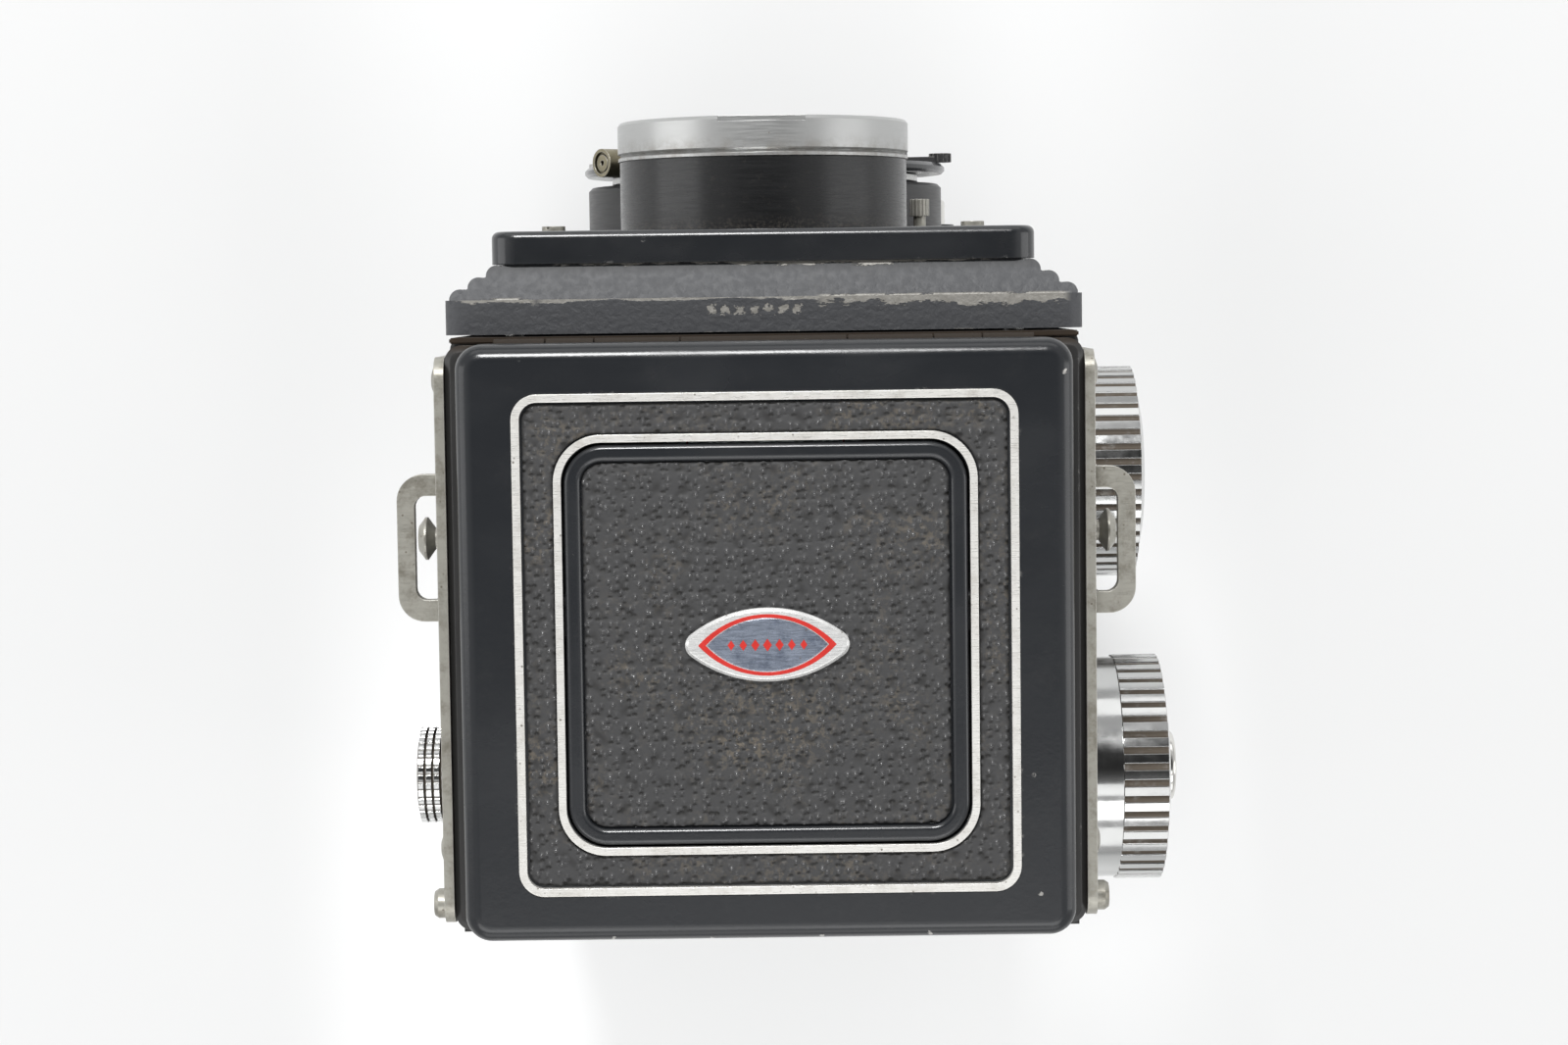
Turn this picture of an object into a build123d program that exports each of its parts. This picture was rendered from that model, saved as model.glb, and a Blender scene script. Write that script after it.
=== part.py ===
"""Twin lens reflex camera for 120 roll film, in millimetres.

The frame: +Z up, the lenses look along -Y, +X is on the right seen from the front. The origin is the mouth
of the tripod socket, on the plane that the camera stands on. At rest the hood is folded, the focus is at
infinity and the back is shut.
"""

import os
from math import atan2, cos, radians, sin

from build123d import *

os.makedirs("parts", exist_ok=True)

# ---- Driving dimensions ----------------------------------------------------------------------------------
BODY_HALF = 38.1  # half the width of the body casting
BODY_FRONT = -35.9
BODY_REAR = 35.2
BODY_TOP = 131.0
SHELL_FOOT = 3.4  # underside of the casting above the door's floor
STAND = 1.2  # height of the feet
WALL_IN = 33.3  # inner face of the film chamber's side walls
WALL_OUT = 35.8  # outer face of those walls, where the gear space starts

PLATE_IN = BODY_HALF
PLATE_OUT = 39.3
PLATE_FRONT = -33.9
PLATE_REAR = 34.4
PLATE_TOP = 139.0
PLATE_FOOT = 4.0

VIEW_Z = 100.0  # axis of the viewing lens
TAKE_Z = 58.0  # axis of the taking lens
MIRROR_Y = -1.0
FILM_Y = 31.5

FLANGE_BACK = -36.4  # the lens standard, from its back to its front
FLANGE_FACE = -40.6
SLOPE_FACE = -44.9
FRONT_FACE = -48.9
STANDARD_FOOT = 12.0
FOCUS_TRAVEL = 7.0
FOCUS_TURN = 270.0

LENS_R = 18.7  # viewing lens barrel
RING_R = 18.95  # bayonet rings of both lenses
RING_BACK = -58.2
RING_FACE = -63.2
DRUM_R = 25.4  # shutter housing
DRUM_FACE = -56.3
FACE_R = 25.9  # shutter face
FACE_BACK = -57.8
FACE_FRONT = -59.2

FOCUS_Y, FOCUS_Z = -14.8, 62.0
TAKE_UP_Y, TAKE_UP_Z = 22.3, 99.0
SUPPLY_Y, SUPPLY_Z = 10.0, 19.0
SPOOL_R = 12.4
RIBS = 44  # ribs round each large knob

FRAME_HALF = 38.0  # hood frame
FRAME_FRONT, FRAME_BACK = -35.3, 35.1
FRAME_TOP = 139.0
LID_HALF = 36.2
LID_FRONT, LID_BACK = -35.5, 35.2
LID_FOOT = 140.1
LID_TOP = 146.0
LID_SHEET = 1.2
LID_AXIS_Y, LID_AXIS_Z = -35.0, 139.0
TRIM_OUT = 29.6  # half sizes of the bright lines on the lid
TRIM_IN = 24.8
WINDOW = 23.85
LEAF_Z = 138.2
LEAF_X = 32.0
LEAF_Y = 30.2
LEAF_TALL = 26.0
LEAF_SHEET = 0.6
LOUPE_PIVOT_Y, LOUPE_Z = -5.0, 142.8
LOUPE_Y = 19.5

DOOR_IN = 35.4
DOOR_OUT = 37.4
DOOR_TOP = 128.2
DOOR_AXIS_Y, DOOR_AXIS_Z = 36.6, 129.6
DOOR_EDGE = -24.0  # front edge of the door's floor
PIN_GAP = 0.05  # radial clearance of a pin that turns


def facing(y):
    """A plane across the lens axes at Y = y. Extruding goes forwards, to -Y."""
    return Plane.XZ.offset(-y)


def beside(x):
    """A plane across the knobs' axes at X = x. Extruding goes to +X."""
    return Plane.YZ.offset(x)


# ---- Body casting ----------------------------------------------------------------------------------------
FOOT_R = 4.0
FEET_X = 28.0
SCREEN_HALF = 30.0
SCREEN_FOOT = 129.4
SCREEN_SHEET = 1.5
ROLLER_Y = 31.4
ROLLER_ZS = (87.9, 28.1)
GUIDE_X = 31.0
GUIDE_ZS = (118.0, 22.0)
GUIDE_R = 1.5
BUSH_R = 2.6
TUBE_R = 16.5  # light tube behind each lens
SHAFT_R = 2.5
KEY_R = 3.0
KNUCKLE_R = 1.2
COUNTER_Y, COUNTER_Z = -5.0, 106.0
COUNTER_R = 6.0
COUNTER_PIN_R = 1.0

with BuildPart() as body_casting:
    with BuildSketch(Plane.XY.offset(SHELL_FOOT)):
        with Locations((0, (BODY_FRONT + BODY_REAR) / 2)):
            RectangleRounded(2 * BODY_HALF, BODY_REAR - BODY_FRONT, 1.2)
    extrude(amount=BODY_TOP - SHELL_FOOT)
    # film and mirror chamber, open at the back and below
    with BuildSketch(Plane.XY.offset(SHELL_FOOT)):
        with Locations((0, (BODY_FRONT + 2 + BODY_REAR + 1) / 2)):
            Rectangle(2 * WALL_IN, BODY_REAR + 1 - BODY_FRONT - 2)
    extrude(amount=128.0 - SHELL_FOOT, mode=Mode.SUBTRACT)
    # front rail under the lenses, with two feet
    with BuildSketch(Plane.XY.offset(STAND)):
        with Locations((0, BODY_FRONT + 5.75)):
            Rectangle(2 * BODY_HALF, 11.5)
    extrude(amount=3.2)
    with BuildSketch(Plane.XY):
        with Locations((-FEET_X, -30), (FEET_X, -30)):
            Circle(FOOT_R)
    extrude(amount=STAND)
    # screen opening and its seat
    with BuildSketch(Plane.XY.offset(127)):
        with Locations((0, MIRROR_Y)):
            Rectangle(2 * SCREEN_HALF - 3, 2 * SCREEN_HALF - 3)
    extrude(amount=5, mode=Mode.SUBTRACT)
    with BuildSketch(Plane.XY.offset(SCREEN_FOOT)):
        with Locations((0, MIRROR_Y)):
            Rectangle(2 * SCREEN_HALF + 0.3, 2 * SCREEN_HALF + 0.3)
    extrude(amount=3, mode=Mode.SUBTRACT)
    # openings for the light tubes, the guide bushes and the focusing follower
    with BuildSketch(facing(-29)):
        with Locations((0, VIEW_Z), (0, TAKE_Z)):
            Circle(TUBE_R + 0.3)
        with Locations(*[(x, z) for x in (-GUIDE_X, GUIDE_X) for z in GUIDE_ZS]):
            Circle(BUSH_R)
    extrude(amount=9, mode=Mode.SUBTRACT)
    # gear spaces in both sides
    for side in (-1, 1):
        with BuildSketch(beside(side * WALL_OUT)):
            with Locations((0.75, 67)):
                RectangleRounded(64.5, 118, 2)
        extrude(amount=side * 4, mode=Mode.SUBTRACT)
    with BuildSketch(beside(-WALL_OUT)):
        with Locations((-33.5, FOCUS_Z)):
            Rectangle(6, 4.6)
    extrude(amount=-1.3, mode=Mode.SUBTRACT)
    # bearing holes through the side walls
    with BuildSketch(beside(-WALL_OUT - 1)):
        with Locations((FOCUS_Y, FOCUS_Z)):
            Circle(SHAFT_R + PIN_GAP)
        with Locations((TAKE_UP_Y, TAKE_UP_Z), (SUPPLY_Y, SUPPLY_Z)):
            Circle(KEY_R + PIN_GAP)
        with Locations((COUNTER_Y, COUNTER_Z)):
            Circle(COUNTER_PIN_R + PIN_GAP)
    extrude(amount=4, mode=Mode.SUBTRACT)
    with BuildSketch(beside(WALL_IN - 1)):
        with Locations((TAKE_UP_Y, TAKE_UP_Z), (SUPPLY_Y, SUPPLY_Z)):
            Circle(KEY_R + PIN_GAP)
    extrude(amount=4, mode=Mode.SUBTRACT)
    with BuildSketch(beside(-WALL_IN - 1.6)):
        with Locations(*[(ROLLER_Y, z) for z in ROLLER_ZS]):
            Circle(0.85)
    extrude(amount=2 * WALL_IN + 3.2, mode=Mode.SUBTRACT)
    # ledges that carry the mirror, at 45 degrees along both walls
    for side in (-1, 1):
        with BuildSketch(beside(side * 30.6)):
            with BuildLine():
                Polyline((-17.8, 81.0), (25.0, 123.8), (27.2, 123.8), (-15.6, 81.0), close=True)
            make_face()
        extrude(amount=side * (WALL_IN - 30.4))
    # knuckles of the door's hinge, with webs to the top rear edge
    for x in (12.2, -23.8):
        with BuildSketch(beside(x)):
            with Locations((DOOR_AXIS_Y, DOOR_AXIS_Z)):
                Circle(KNUCKLE_R)
            with Locations((35.6, DOOR_AXIS_Z + 0.5)):
                Rectangle(1.6, 1.4)
            with Locations((DOOR_AXIS_Y, DOOR_AXIS_Z)):
                Circle(0.6 + PIN_GAP, mode=Mode.SUBTRACT)
        extrude(amount=11.6)
body_casting.part.label = "body_casting"
export_step(body_casting.part, "parts/body_casting.step")

# ---- Screen, mirror, light chamber, film gate and rollers ------------------------------------------------
with BuildPart() as focusing_screen:
    with BuildSketch(Plane.XY.offset(SCREEN_FOOT)):
        with Locations((0, MIRROR_Y)):
            Rectangle(2 * SCREEN_HALF, 2 * SCREEN_HALF)
    extrude(amount=SCREEN_SHEET)
    chamfer(focusing_screen.edges().group_by(Axis.Z)[-1], 0.2)
focusing_screen.part.label = "focusing_screen"
export_step(focusing_screen.part, "parts/focusing_screen.step")

MIRROR_PLANE = Plane(origin=(0, MIRROR_Y, VIEW_Z), x_dir=(1, 0, 0), z_dir=(0, -1, 1))
with BuildPart() as reflex_mirror:
    with BuildSketch(MIRROR_PLANE):
        with BuildLine():
            Polyline((-24, -25), (24, -25), (30.2, 34), (30.2, 36), (-30.2, 36), (-30.2, 34), close=True)
        make_face()
    extrude(amount=-1.5)
reflex_mirror.part.label = "reflex_mirror"
export_step(reflex_mirror.part, "parts/reflex_mirror.step")

CHAMBER_FRONT, CHAMBER_BACK = -33.8, 29.9
CHAMBER_WALL = 1.4
with BuildPart() as light_chamber:
    for wall, mode in ((CHAMBER_WALL, Mode.ADD), (0, Mode.SUBTRACT)):
        with BuildSketch(facing(CHAMBER_FRONT)):
            with Locations((0, TAKE_Z)):
                Rectangle(35 + 2 * wall, 35 + 2 * wall)
        with BuildSketch(facing(CHAMBER_BACK)):
            with Locations((0, TAKE_Z)):
                Rectangle(56 + 2 * wall, 55 + 2 * wall)
        loft(ruled=True, mode=mode)
light_chamber.part.label = "light_chamber"
export_step(light_chamber.part, "parts/light_chamber.step")

with BuildPart() as film_gate:
    with BuildSketch(facing(FILM_Y)):
        with Locations((0, TAKE_Z)):
            Rectangle(2 * WALL_IN - 0.2, 56.8)
            Rectangle(56, 55, mode=Mode.SUBTRACT)
    extrude(amount=1.5)
    with BuildSketch(facing(FILM_Y + 0.4)):
        with Locations((-30, TAKE_Z), (30, TAKE_Z)):
            Rectangle(1.4, 56.8)
    extrude(amount=0.5)
film_gate.part.label = "film_gate"
export_step(film_gate.part, "parts/film_gate.step")


def film_roller(z):
    """A film guide roller across the chamber, turning on its own thin ends in the side walls."""
    with BuildPart() as roller:
        with Locations(Location((0, ROLLER_Y, z), (0, 90, 0))):
            Cylinder(1.4, 61.2)
            Cylinder(0.8, 2 * WALL_IN + 2.8)
    return roller.part


with BuildPart() as roller_upper:
    add(film_roller(ROLLER_ZS[0]))
roller_upper.part.label = "roller_upper"
export_step(roller_upper.part, "parts/roller_upper.step")

with BuildPart() as roller_lower:
    add(film_roller(ROLLER_ZS[1]))
roller_lower.part.label = "roller_lower"
export_step(roller_lower.part, "parts/roller_lower.step")

# ---- Side plates, their covering, lugs, studs and screws -------------------------------------------------
PLATE_MID_Y = (PLATE_FRONT + PLATE_REAR) / 2
PLATE_MID_Z = (PLATE_FOOT + PLATE_TOP) / 2
PLATE_LONG = PLATE_REAR - PLATE_FRONT
PLATE_TALL = PLATE_TOP - PLATE_FOOT
SKIN_FOOT, SKIN_TOP = 5.6, 128.0
SKIN_DEPTH = 0.5
LUG_Y = -10.9
LUG_Z = 133.1
LUG_TALL = 1.8
LUG_LONG = 17.8
LUG_REACH = 44.5
LUG_BAND = 2.1
STUD_Z = 120.0
COLLAR_R = 5.0
# the holes on each side: the right (-X) carries both big knobs, the left (+X) both spool knobs
SIDE_HOLES = {
    -1: ((FOCUS_Y, FOCUS_Z), (TAKE_UP_Y, TAKE_UP_Z)),
    1: ((TAKE_UP_Y, TAKE_UP_Z), (SUPPLY_Y, SUPPLY_Z)),
}
LOW_SCREWS = ((-30.5, 9.0), (31.0, 9.0))
TOP_SCREWS = ((-31.0, 132.5), (26.0, 132.5))


def side_plate(side):
    """One side plate, with its recess for the covering and the holes for the knobs."""
    with BuildPart() as plate:
        with BuildSketch(beside(side * PLATE_IN)):
            with Locations((PLATE_MID_Y, PLATE_MID_Z)):
                RectangleRounded(PLATE_LONG, PLATE_TALL, 2.5)
            with Locations(*SIDE_HOLES[side]):
                Circle(COLLAR_R, mode=Mode.SUBTRACT)
            if side < 0:
                with Locations((COUNTER_Y, COUNTER_Z + 3.6)):
                    Circle(1.8, mode=Mode.SUBTRACT)
        extrude(amount=side * (PLATE_OUT - PLATE_IN))
        with BuildSketch(beside(side * PLATE_OUT)):
            with Locations((PLATE_MID_Y, (SKIN_FOOT + SKIN_TOP) / 2)):
                RectangleRounded(PLATE_LONG - 3.2, SKIN_TOP - SKIN_FOOT, 1.5)
            with Locations(*LOW_SCREWS, (LUG_Y, STUD_Z)):
                Circle(2.3, mode=Mode.SUBTRACT)
        extrude(amount=-side * SKIN_DEPTH, mode=Mode.SUBTRACT)
    return plate.part


with BuildPart() as side_plate_left:
    add(side_plate(1))
side_plate_left.part.label = "side_plate_left"
export_step(side_plate_left.part, "parts/side_plate_left.step")

with BuildPart() as side_plate_right:
    add(side_plate(-1))
side_plate_right.part.label = "side_plate_right"
export_step(side_plate_right.part, "parts/side_plate_right.step")

with BuildPart() as side_leathers:
    for side in (-1, 1):
        with BuildSketch(beside(side * (PLATE_OUT - SKIN_DEPTH))):
            with Locations((PLATE_MID_Y, (SKIN_FOOT + SKIN_TOP) / 2)):
                RectangleRounded(PLATE_LONG - 3.6, SKIN_TOP - SKIN_FOOT - 0.4, 1.3)
            with Locations(*LOW_SCREWS, (LUG_Y, STUD_Z)):
                Circle(2.5, mode=Mode.SUBTRACT)
            with Locations(*SIDE_HOLES[side]):
                Circle(COLLAR_R + 0.6, mode=Mode.SUBTRACT)
            if side < 0:
                with Locations((COUNTER_Y, COUNTER_Z + 3.6)):
                    Circle(2.2, mode=Mode.SUBTRACT)
        extrude(amount=side * 0.45)
side_leathers.part.label = "side_leathers"
export_step(side_leathers.part, "parts/side_leathers.step")

with BuildPart() as strap_lugs:
    with BuildSketch(Plane.XY.offset(LUG_Z)):
        with BuildLine():
            half = LUG_LONG / 2
            FilletPolyline(
                (PLATE_OUT, LUG_Y - half),
                (LUG_REACH, LUG_Y - half),
                (LUG_REACH, LUG_Y + half),
                (PLATE_OUT, LUG_Y + half),
                radius=3.2,
            )
            Line((PLATE_OUT, LUG_Y + half), (PLATE_OUT, LUG_Y + half - 2.6))
            FilletPolyline(
                (PLATE_OUT, LUG_Y + half - 2.6),
                (LUG_REACH - LUG_BAND, LUG_Y + half - 2.6),
                (LUG_REACH - LUG_BAND, LUG_Y - half + 2.6),
                (PLATE_OUT, LUG_Y - half + 2.6),
                radius=1.4,
            )
            Line((PLATE_OUT, LUG_Y - half + 2.6), (PLATE_OUT, LUG_Y - half))
        make_face()
    extrude(amount=LUG_TALL)
    # feet of the two legs, flat on the plate
    with BuildSketch(beside(PLATE_OUT)):
        with Locations((LUG_Y - half + 1.3, LUG_Z - 0.7), (LUG_Y + half - 1.3, LUG_Z - 0.7)):
            RectangleRounded(2.6, 5, 0.6)
    extrude(amount=0.8)
    mirror(about=Plane.YZ)
strap_lugs.part.label = "strap_lugs"
export_step(strap_lugs.part, "parts/strap_lugs.step")


def pin_head(y, z, profile):
    """A round headed fastener on the left plate at (y, z). profile is (radius, X) points, outwards."""
    with BuildPart() as head:
        with BuildSketch(Plane(origin=(0, y, z), x_dir=(0, 1, 0), z_dir=(0, 0, 1))):
            with BuildLine():
                points = [(radius, -x) for radius, x in profile]
                Polyline((0, points[0][1]), *points, (0, points[-1][1]), close=True)
            make_face()
        revolve(axis=Axis((0, y, z), (1, 0, 0)))
    return head.part


DOME = ((2.0, PLATE_OUT), (2.0, PLATE_OUT + 0.25), (1.6, PLATE_OUT + 0.65), (0.9, PLATE_OUT + 0.9))
PAN = ((1.85, PLATE_OUT), (1.85, PLATE_OUT + 2.0), (1.5, PLATE_OUT + 2.5))
STUD = (
    (1.7, PLATE_OUT),
    (1.3, PLATE_OUT + 2.2),
    (2.7, PLATE_OUT + 3.2),
    (2.7, PLATE_OUT + 3.5),
    (1.6, PLATE_OUT + 4.3),
)
with BuildPart() as body_screws:
    for y, z in LOW_SCREWS + TOP_SCREWS:
        add(pin_head(y, z, DOME))
    add(pin_head(34.0, 127.0, PAN))
    add(pin_head(LUG_Y, STUD_Z, STUD))
    mirror(about=Plane.YZ)
body_screws.part.label = "body_screws"
export_step(body_screws.part, "parts/body_screws.step")

# ---- Bushes for the guide rods, the shafts and the supply spool's fixed pivot ----------------------------
with BuildPart() as shaft_bushes:
    with BuildSketch(facing(-29.9)):
        with Locations(*[(x, z) for x in (-GUIDE_X, GUIDE_X) for z in GUIDE_ZS]):
            Circle(BUSH_R)
            Circle(GUIDE_R + PIN_GAP, mode=Mode.SUBTRACT)
    extrude(amount=6)
    for side, holes in SIDE_HOLES.items():
        for y, z in holes:
            inner = SHAFT_R if (y, z) == (FOCUS_Y, FOCUS_Z) else KEY_R
            with BuildSketch(beside(side * PLATE_IN)):
                with Locations((y, z)):
                    Circle(COLLAR_R)
                    Circle(inner + PIN_GAP, mode=Mode.SUBTRACT)
            extrude(amount=side * 1.3)
    with Locations(Location((-WALL_IN, SUPPLY_Y, SUPPLY_Z), (0, 90, 0))):
        Cylinder(KEY_R + PIN_GAP, 5.0)
shaft_bushes.part.label = "shaft_bushes"
export_step(shaft_bushes.part, "parts/shaft_bushes.step")

# ---- Hood frame, and the pins of all the hinges ----------------------------------------------------------
FRAME_KNUCKLES = (10.0, 26.0)  # inner ends of the frame's knuckles on the lid's hinge
KNUCKLE_LONG = (10.0, 6.0)
HINGE_R = 1.0
HINGE_PIN_R = 0.5
with BuildPart() as hood_frame:
    with BuildSketch(Plane.XY.offset(BODY_TOP)):
        with Locations((0, (FRAME_FRONT + FRAME_BACK) / 2)):
            RectangleRounded(2 * FRAME_HALF, FRAME_BACK - FRAME_FRONT, 2)
        with Locations((0, (-31.5 + 31.2) / 2)):
            Rectangle(66, 62.7, mode=Mode.SUBTRACT)
    extrude(amount=FRAME_TOP - BODY_TOP)
    top_edges = hood_frame.edges().group_by(Axis.Z)[-1]
    chamfer([e for e in top_edges if abs(e.center().X) > 34 or abs(e.center().Y) > 33], 0.7)
    # lip over the edge of the glass
    with BuildSketch(Plane.XY.offset(BODY_TOP)):
        with Locations((0, (-31.5 + 31.2) / 2)):
            Rectangle(66.2, 62.9)
            Rectangle(57.5, 55.5, mode=Mode.SUBTRACT)
    extrude(amount=0.8)
    # step that clears the hinge of the lid
    with BuildSketch(beside(-34)):
        with Locations((-35.0, 139.0)):
            Rectangle(2.4, 2.4)
    extrude(amount=68, mode=Mode.SUBTRACT)
    for start, long in zip(FRAME_KNUCKLES, KNUCKLE_LONG):
        for x in (start, -start - long):
            with BuildSketch(beside(x)):
                with Locations((LID_AXIS_Y, LID_AXIS_Z)):
                    Circle(HINGE_R)
                with Locations((LID_AXIS_Y + 0.7, LID_AXIS_Z - 0.65)):
                    Rectangle(1.4, 1.2)
                with Locations((LID_AXIS_Y, LID_AXIS_Z)):
                    Circle(HINGE_PIN_R + PIN_GAP, mode=Mode.SUBTRACT)
            extrude(amount=long)
    # blocks that hold the ends of the leaves' pins
    with BuildSketch(Plane.XY.offset(137)):
        with Locations((-32.3, 30.3), (32.3, 30.3)):
            Rectangle(1.9, 2.0)
    extrude(amount=2)
    with Locations(*[Location((side * LEAF_X, -1.2, LEAF_Z), (90, 0, 0)) for side in (-1, 1)]):
        Cylinder(HINGE_PIN_R, 61.6, mode=Mode.SUBTRACT)
    with Locations(Location((0, LEAF_Y, LEAF_Z), (0, 90, 0))):
        Cylinder(HINGE_PIN_R, 63.4, mode=Mode.SUBTRACT)
hood_frame.part.label = "hood_frame"
export_step(hood_frame.part, "parts/hood_frame.step")

with BuildPart() as hinge_pins:
    with Locations(Location((0, LID_AXIS_Y, LID_AXIS_Z), (0, 90, 0))):
        Cylinder(HINGE_PIN_R, 64)
    with Locations(*[Location((side * LEAF_X, -1.2, LEAF_Z), (90, 0, 0)) for side in (-1, 1)]):
        Cylinder(HINGE_PIN_R, 61.6)
    with Locations(Location((0, LEAF_Y, LEAF_Z), (0, 90, 0))):
        Cylinder(HINGE_PIN_R, 63.4)
    with Locations(Location((0, DOOR_AXIS_Y, DOOR_AXIS_Z), (0, 90, 0))):
        Cylinder(0.6, 72)
hinge_pins.part.label = "hinge_pins"
export_step(hinge_pins.part, "parts/hinge_pins.step")

# ---- Folding leaves of the hood --------------------------------------------------------------------------
BARREL_R = 0.85


def side_leaf(side):
    """A side wall of the hood, folded flat. It clears the rising lid in front and the rear leaf behind."""
    near = LEAF_X - 0.5
    far = LEAF_X - LEAF_TALL
    with BuildPart() as leaf:
        with BuildSketch(Plane.XY.offset(LEAF_Z - LEAF_SHEET / 2)):
            with BuildLine():
                Polyline(
                    (side * near, -31.0),
                    (side * 19.0, -31.0),
                    (side * far, -17.5),
                    (side * far, LEAF_Y - LEAF_TALL - 0.4),
                    (side * near, LEAF_Y - 0.5 - 0.6),
                    close=True,
                )
            make_face()
        extrude(amount=LEAF_SHEET)
        with Locations(Location((side * LEAF_X, -1.05, LEAF_Z), (90, 0, 0))):
            Cylinder(BARREL_R, 60.2)
            Cylinder(HINGE_PIN_R + PIN_GAP, 62, mode=Mode.SUBTRACT)
    return leaf.part


with BuildPart() as left_leaf:
    add(side_leaf(1))
left_leaf.part.label = "left_leaf"
export_step(left_leaf.part, "parts/left_leaf.step")

with BuildPart() as right_leaf:
    add(side_leaf(-1))
right_leaf.part.label = "right_leaf"
export_step(right_leaf.part, "parts/right_leaf.step")

with BuildPart() as rear_leaf:
    with BuildSketch(Plane.XY.offset(LEAF_Z - LEAF_SHEET / 2)):
        with BuildLine():
            tip = LEAF_X - LEAF_TALL - 0.4
            Polyline(
                (-30.7, LEAF_Y - 0.5),
                (30.7, LEAF_Y - 0.5),
                (tip, LEAF_Y - LEAF_TALL),
                (-tip, LEAF_Y - LEAF_TALL),
                close=True,
            )
        make_face()
    extrude(amount=LEAF_SHEET)
    with Locations(Location((0, LEAF_Y, LEAF_Z), (0, 90, 0))):
        Cylinder(BARREL_R, 60.0)
        Cylinder(HINGE_PIN_R + PIN_GAP, 62, mode=Mode.SUBTRACT)
rear_leaf.part.label = "rear_leaf"
export_step(rear_leaf.part, "parts/rear_leaf.step")

# ---- Hood lid: pan, leather, bright lines, finder flap and badge -----------------------------------------
LID_MID_Y = (LID_FRONT + LID_BACK) / 2
POCKET_Z = 145.2
LOUPE_LUG_X = 27.2
with BuildPart() as hood_lid:
    with BuildSketch(Plane.XY.offset(LID_FOOT)):
        with Locations((0, LID_MID_Y)):
            RectangleRounded(2 * LID_HALF, LID_BACK - LID_FRONT, 3.2)
    extrude(amount=LID_TOP - LID_FOOT)
    fillet(hood_lid.edges().group_by(Axis.Z)[-1], 2.0)
    # underside
    with BuildSketch(Plane.XY.offset(LID_FOOT)):
        with Locations((0, LID_MID_Y)):
            RectangleRounded(2 * LID_HALF - 2, LID_BACK - LID_FRONT - 2, 2.2)
    extrude(amount=LID_TOP - LID_SHEET - LID_FOOT - 0.6, mode=Mode.SUBTRACT)
    with BuildSketch(Plane.XY.offset(LID_TOP - LID_SHEET - 1)):
        with Locations((0, LID_MID_Y)):
            RectangleRounded(2 * LID_HALF - 5, LID_BACK - LID_FRONT - 5, 2)
    extrude(amount=1, mode=Mode.SUBTRACT)
    # pocket for the covering, and the finder's window
    with BuildSketch(Plane.XY.offset(POCKET_Z)):
        RectangleRounded(2 * TRIM_OUT, 2 * TRIM_OUT, 3)
    extrude(amount=2, mode=Mode.SUBTRACT)
    with BuildSketch(Plane.XY.offset(LID_FOOT + 1)):
        RectangleRounded(2 * WINDOW, 2 * WINDOW, 4.9)
    extrude(amount=6, mode=Mode.SUBTRACT)
    # knuckles on the lid's hinge
    for start, long in ((-9.8, 19.6), (20.2, 5.6), (-25.8, 5.6)):
        with BuildSketch(beside(start)):
            with Locations((LID_AXIS_Y, LID_AXIS_Z)):
                Circle(HINGE_R)
            with Locations((LID_AXIS_Y, LID_AXIS_Z + 0.9)):
                Rectangle(1.0, 1.4)
            with Locations((LID_AXIS_Y, LID_AXIS_Z)):
                Circle(HINGE_PIN_R + PIN_GAP, mode=Mode.SUBTRACT)
        extrude(amount=long)
    # ears for the magnifier's trunnion
    for x in (LOUPE_LUG_X, -LOUPE_LUG_X - 1.2):
        with BuildSketch(beside(x)):
            with Locations((LOUPE_PIVOT_Y, LOUPE_Z + 0.6)):
                RectangleRounded(3.2, 3.4, 0.8)
            with Locations((LOUPE_PIVOT_Y, LOUPE_Z)):
                Circle(0.65, mode=Mode.SUBTRACT)
        extrude(amount=1.2)
hood_lid.part.label = "hood_lid"
export_step(hood_lid.part, "parts/hood_lid.step")

with BuildPart() as lid_trims:
    for outer, width, corner, top in ((TRIM_OUT, 0.95, 3.0, 146.15), (TRIM_IN, 0.9, 5.6, 146.0)):
        with BuildSketch(Plane.XY.offset(POCKET_Z)):
            RectangleRounded(2 * outer, 2 * outer, corner)
            RectangleRounded(2 * (outer - width), 2 * (outer - width), corner - width, mode=Mode.SUBTRACT)
        extrude(amount=top - POCKET_Z)
lid_trims.part.label = "lid_trims"
export_step(lid_trims.part, "parts/lid_trims.step")

FLAP = 23.6
FLAP_SKIN = 21.6
with BuildPart() as lid_leathers:
    with BuildSketch(Plane.XY.offset(POCKET_Z)):
        RectangleRounded(2 * 28.3, 2 * 28.3, 2)
        RectangleRounded(2 * 25.0, 2 * 25.0, 5.7, mode=Mode.SUBTRACT)
    extrude(amount=0.55)
    with BuildSketch(Plane.XY.offset(POCKET_Z)):
        RectangleRounded(2 * FLAP_SKIN - 0.4, 2 * FLAP_SKIN - 0.4, 2.2)
    extrude(amount=0.6)
lid_leathers.part.label = "lid_leathers"
export_step(lid_leathers.part, "parts/lid_leathers.step")

with BuildPart() as finder_flap:
    with BuildSketch(Plane.XY.offset(144.0)):
        RectangleRounded(2 * FLAP, 2 * FLAP, 4.7)
    extrude(amount=2.1)
    with BuildSketch(Plane.XY.offset(POCKET_Z)):
        RectangleRounded(2 * FLAP_SKIN, 2 * FLAP_SKIN, 2.5)
    extrude(amount=2, mode=Mode.SUBTRACT)
    fillet(finder_flap.edges().group_by(Axis.Z)[-1], 0.6)
finder_flap.part.label = "finder_flap"
export_step(finder_flap.part, "parts/finder_flap.step")

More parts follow.
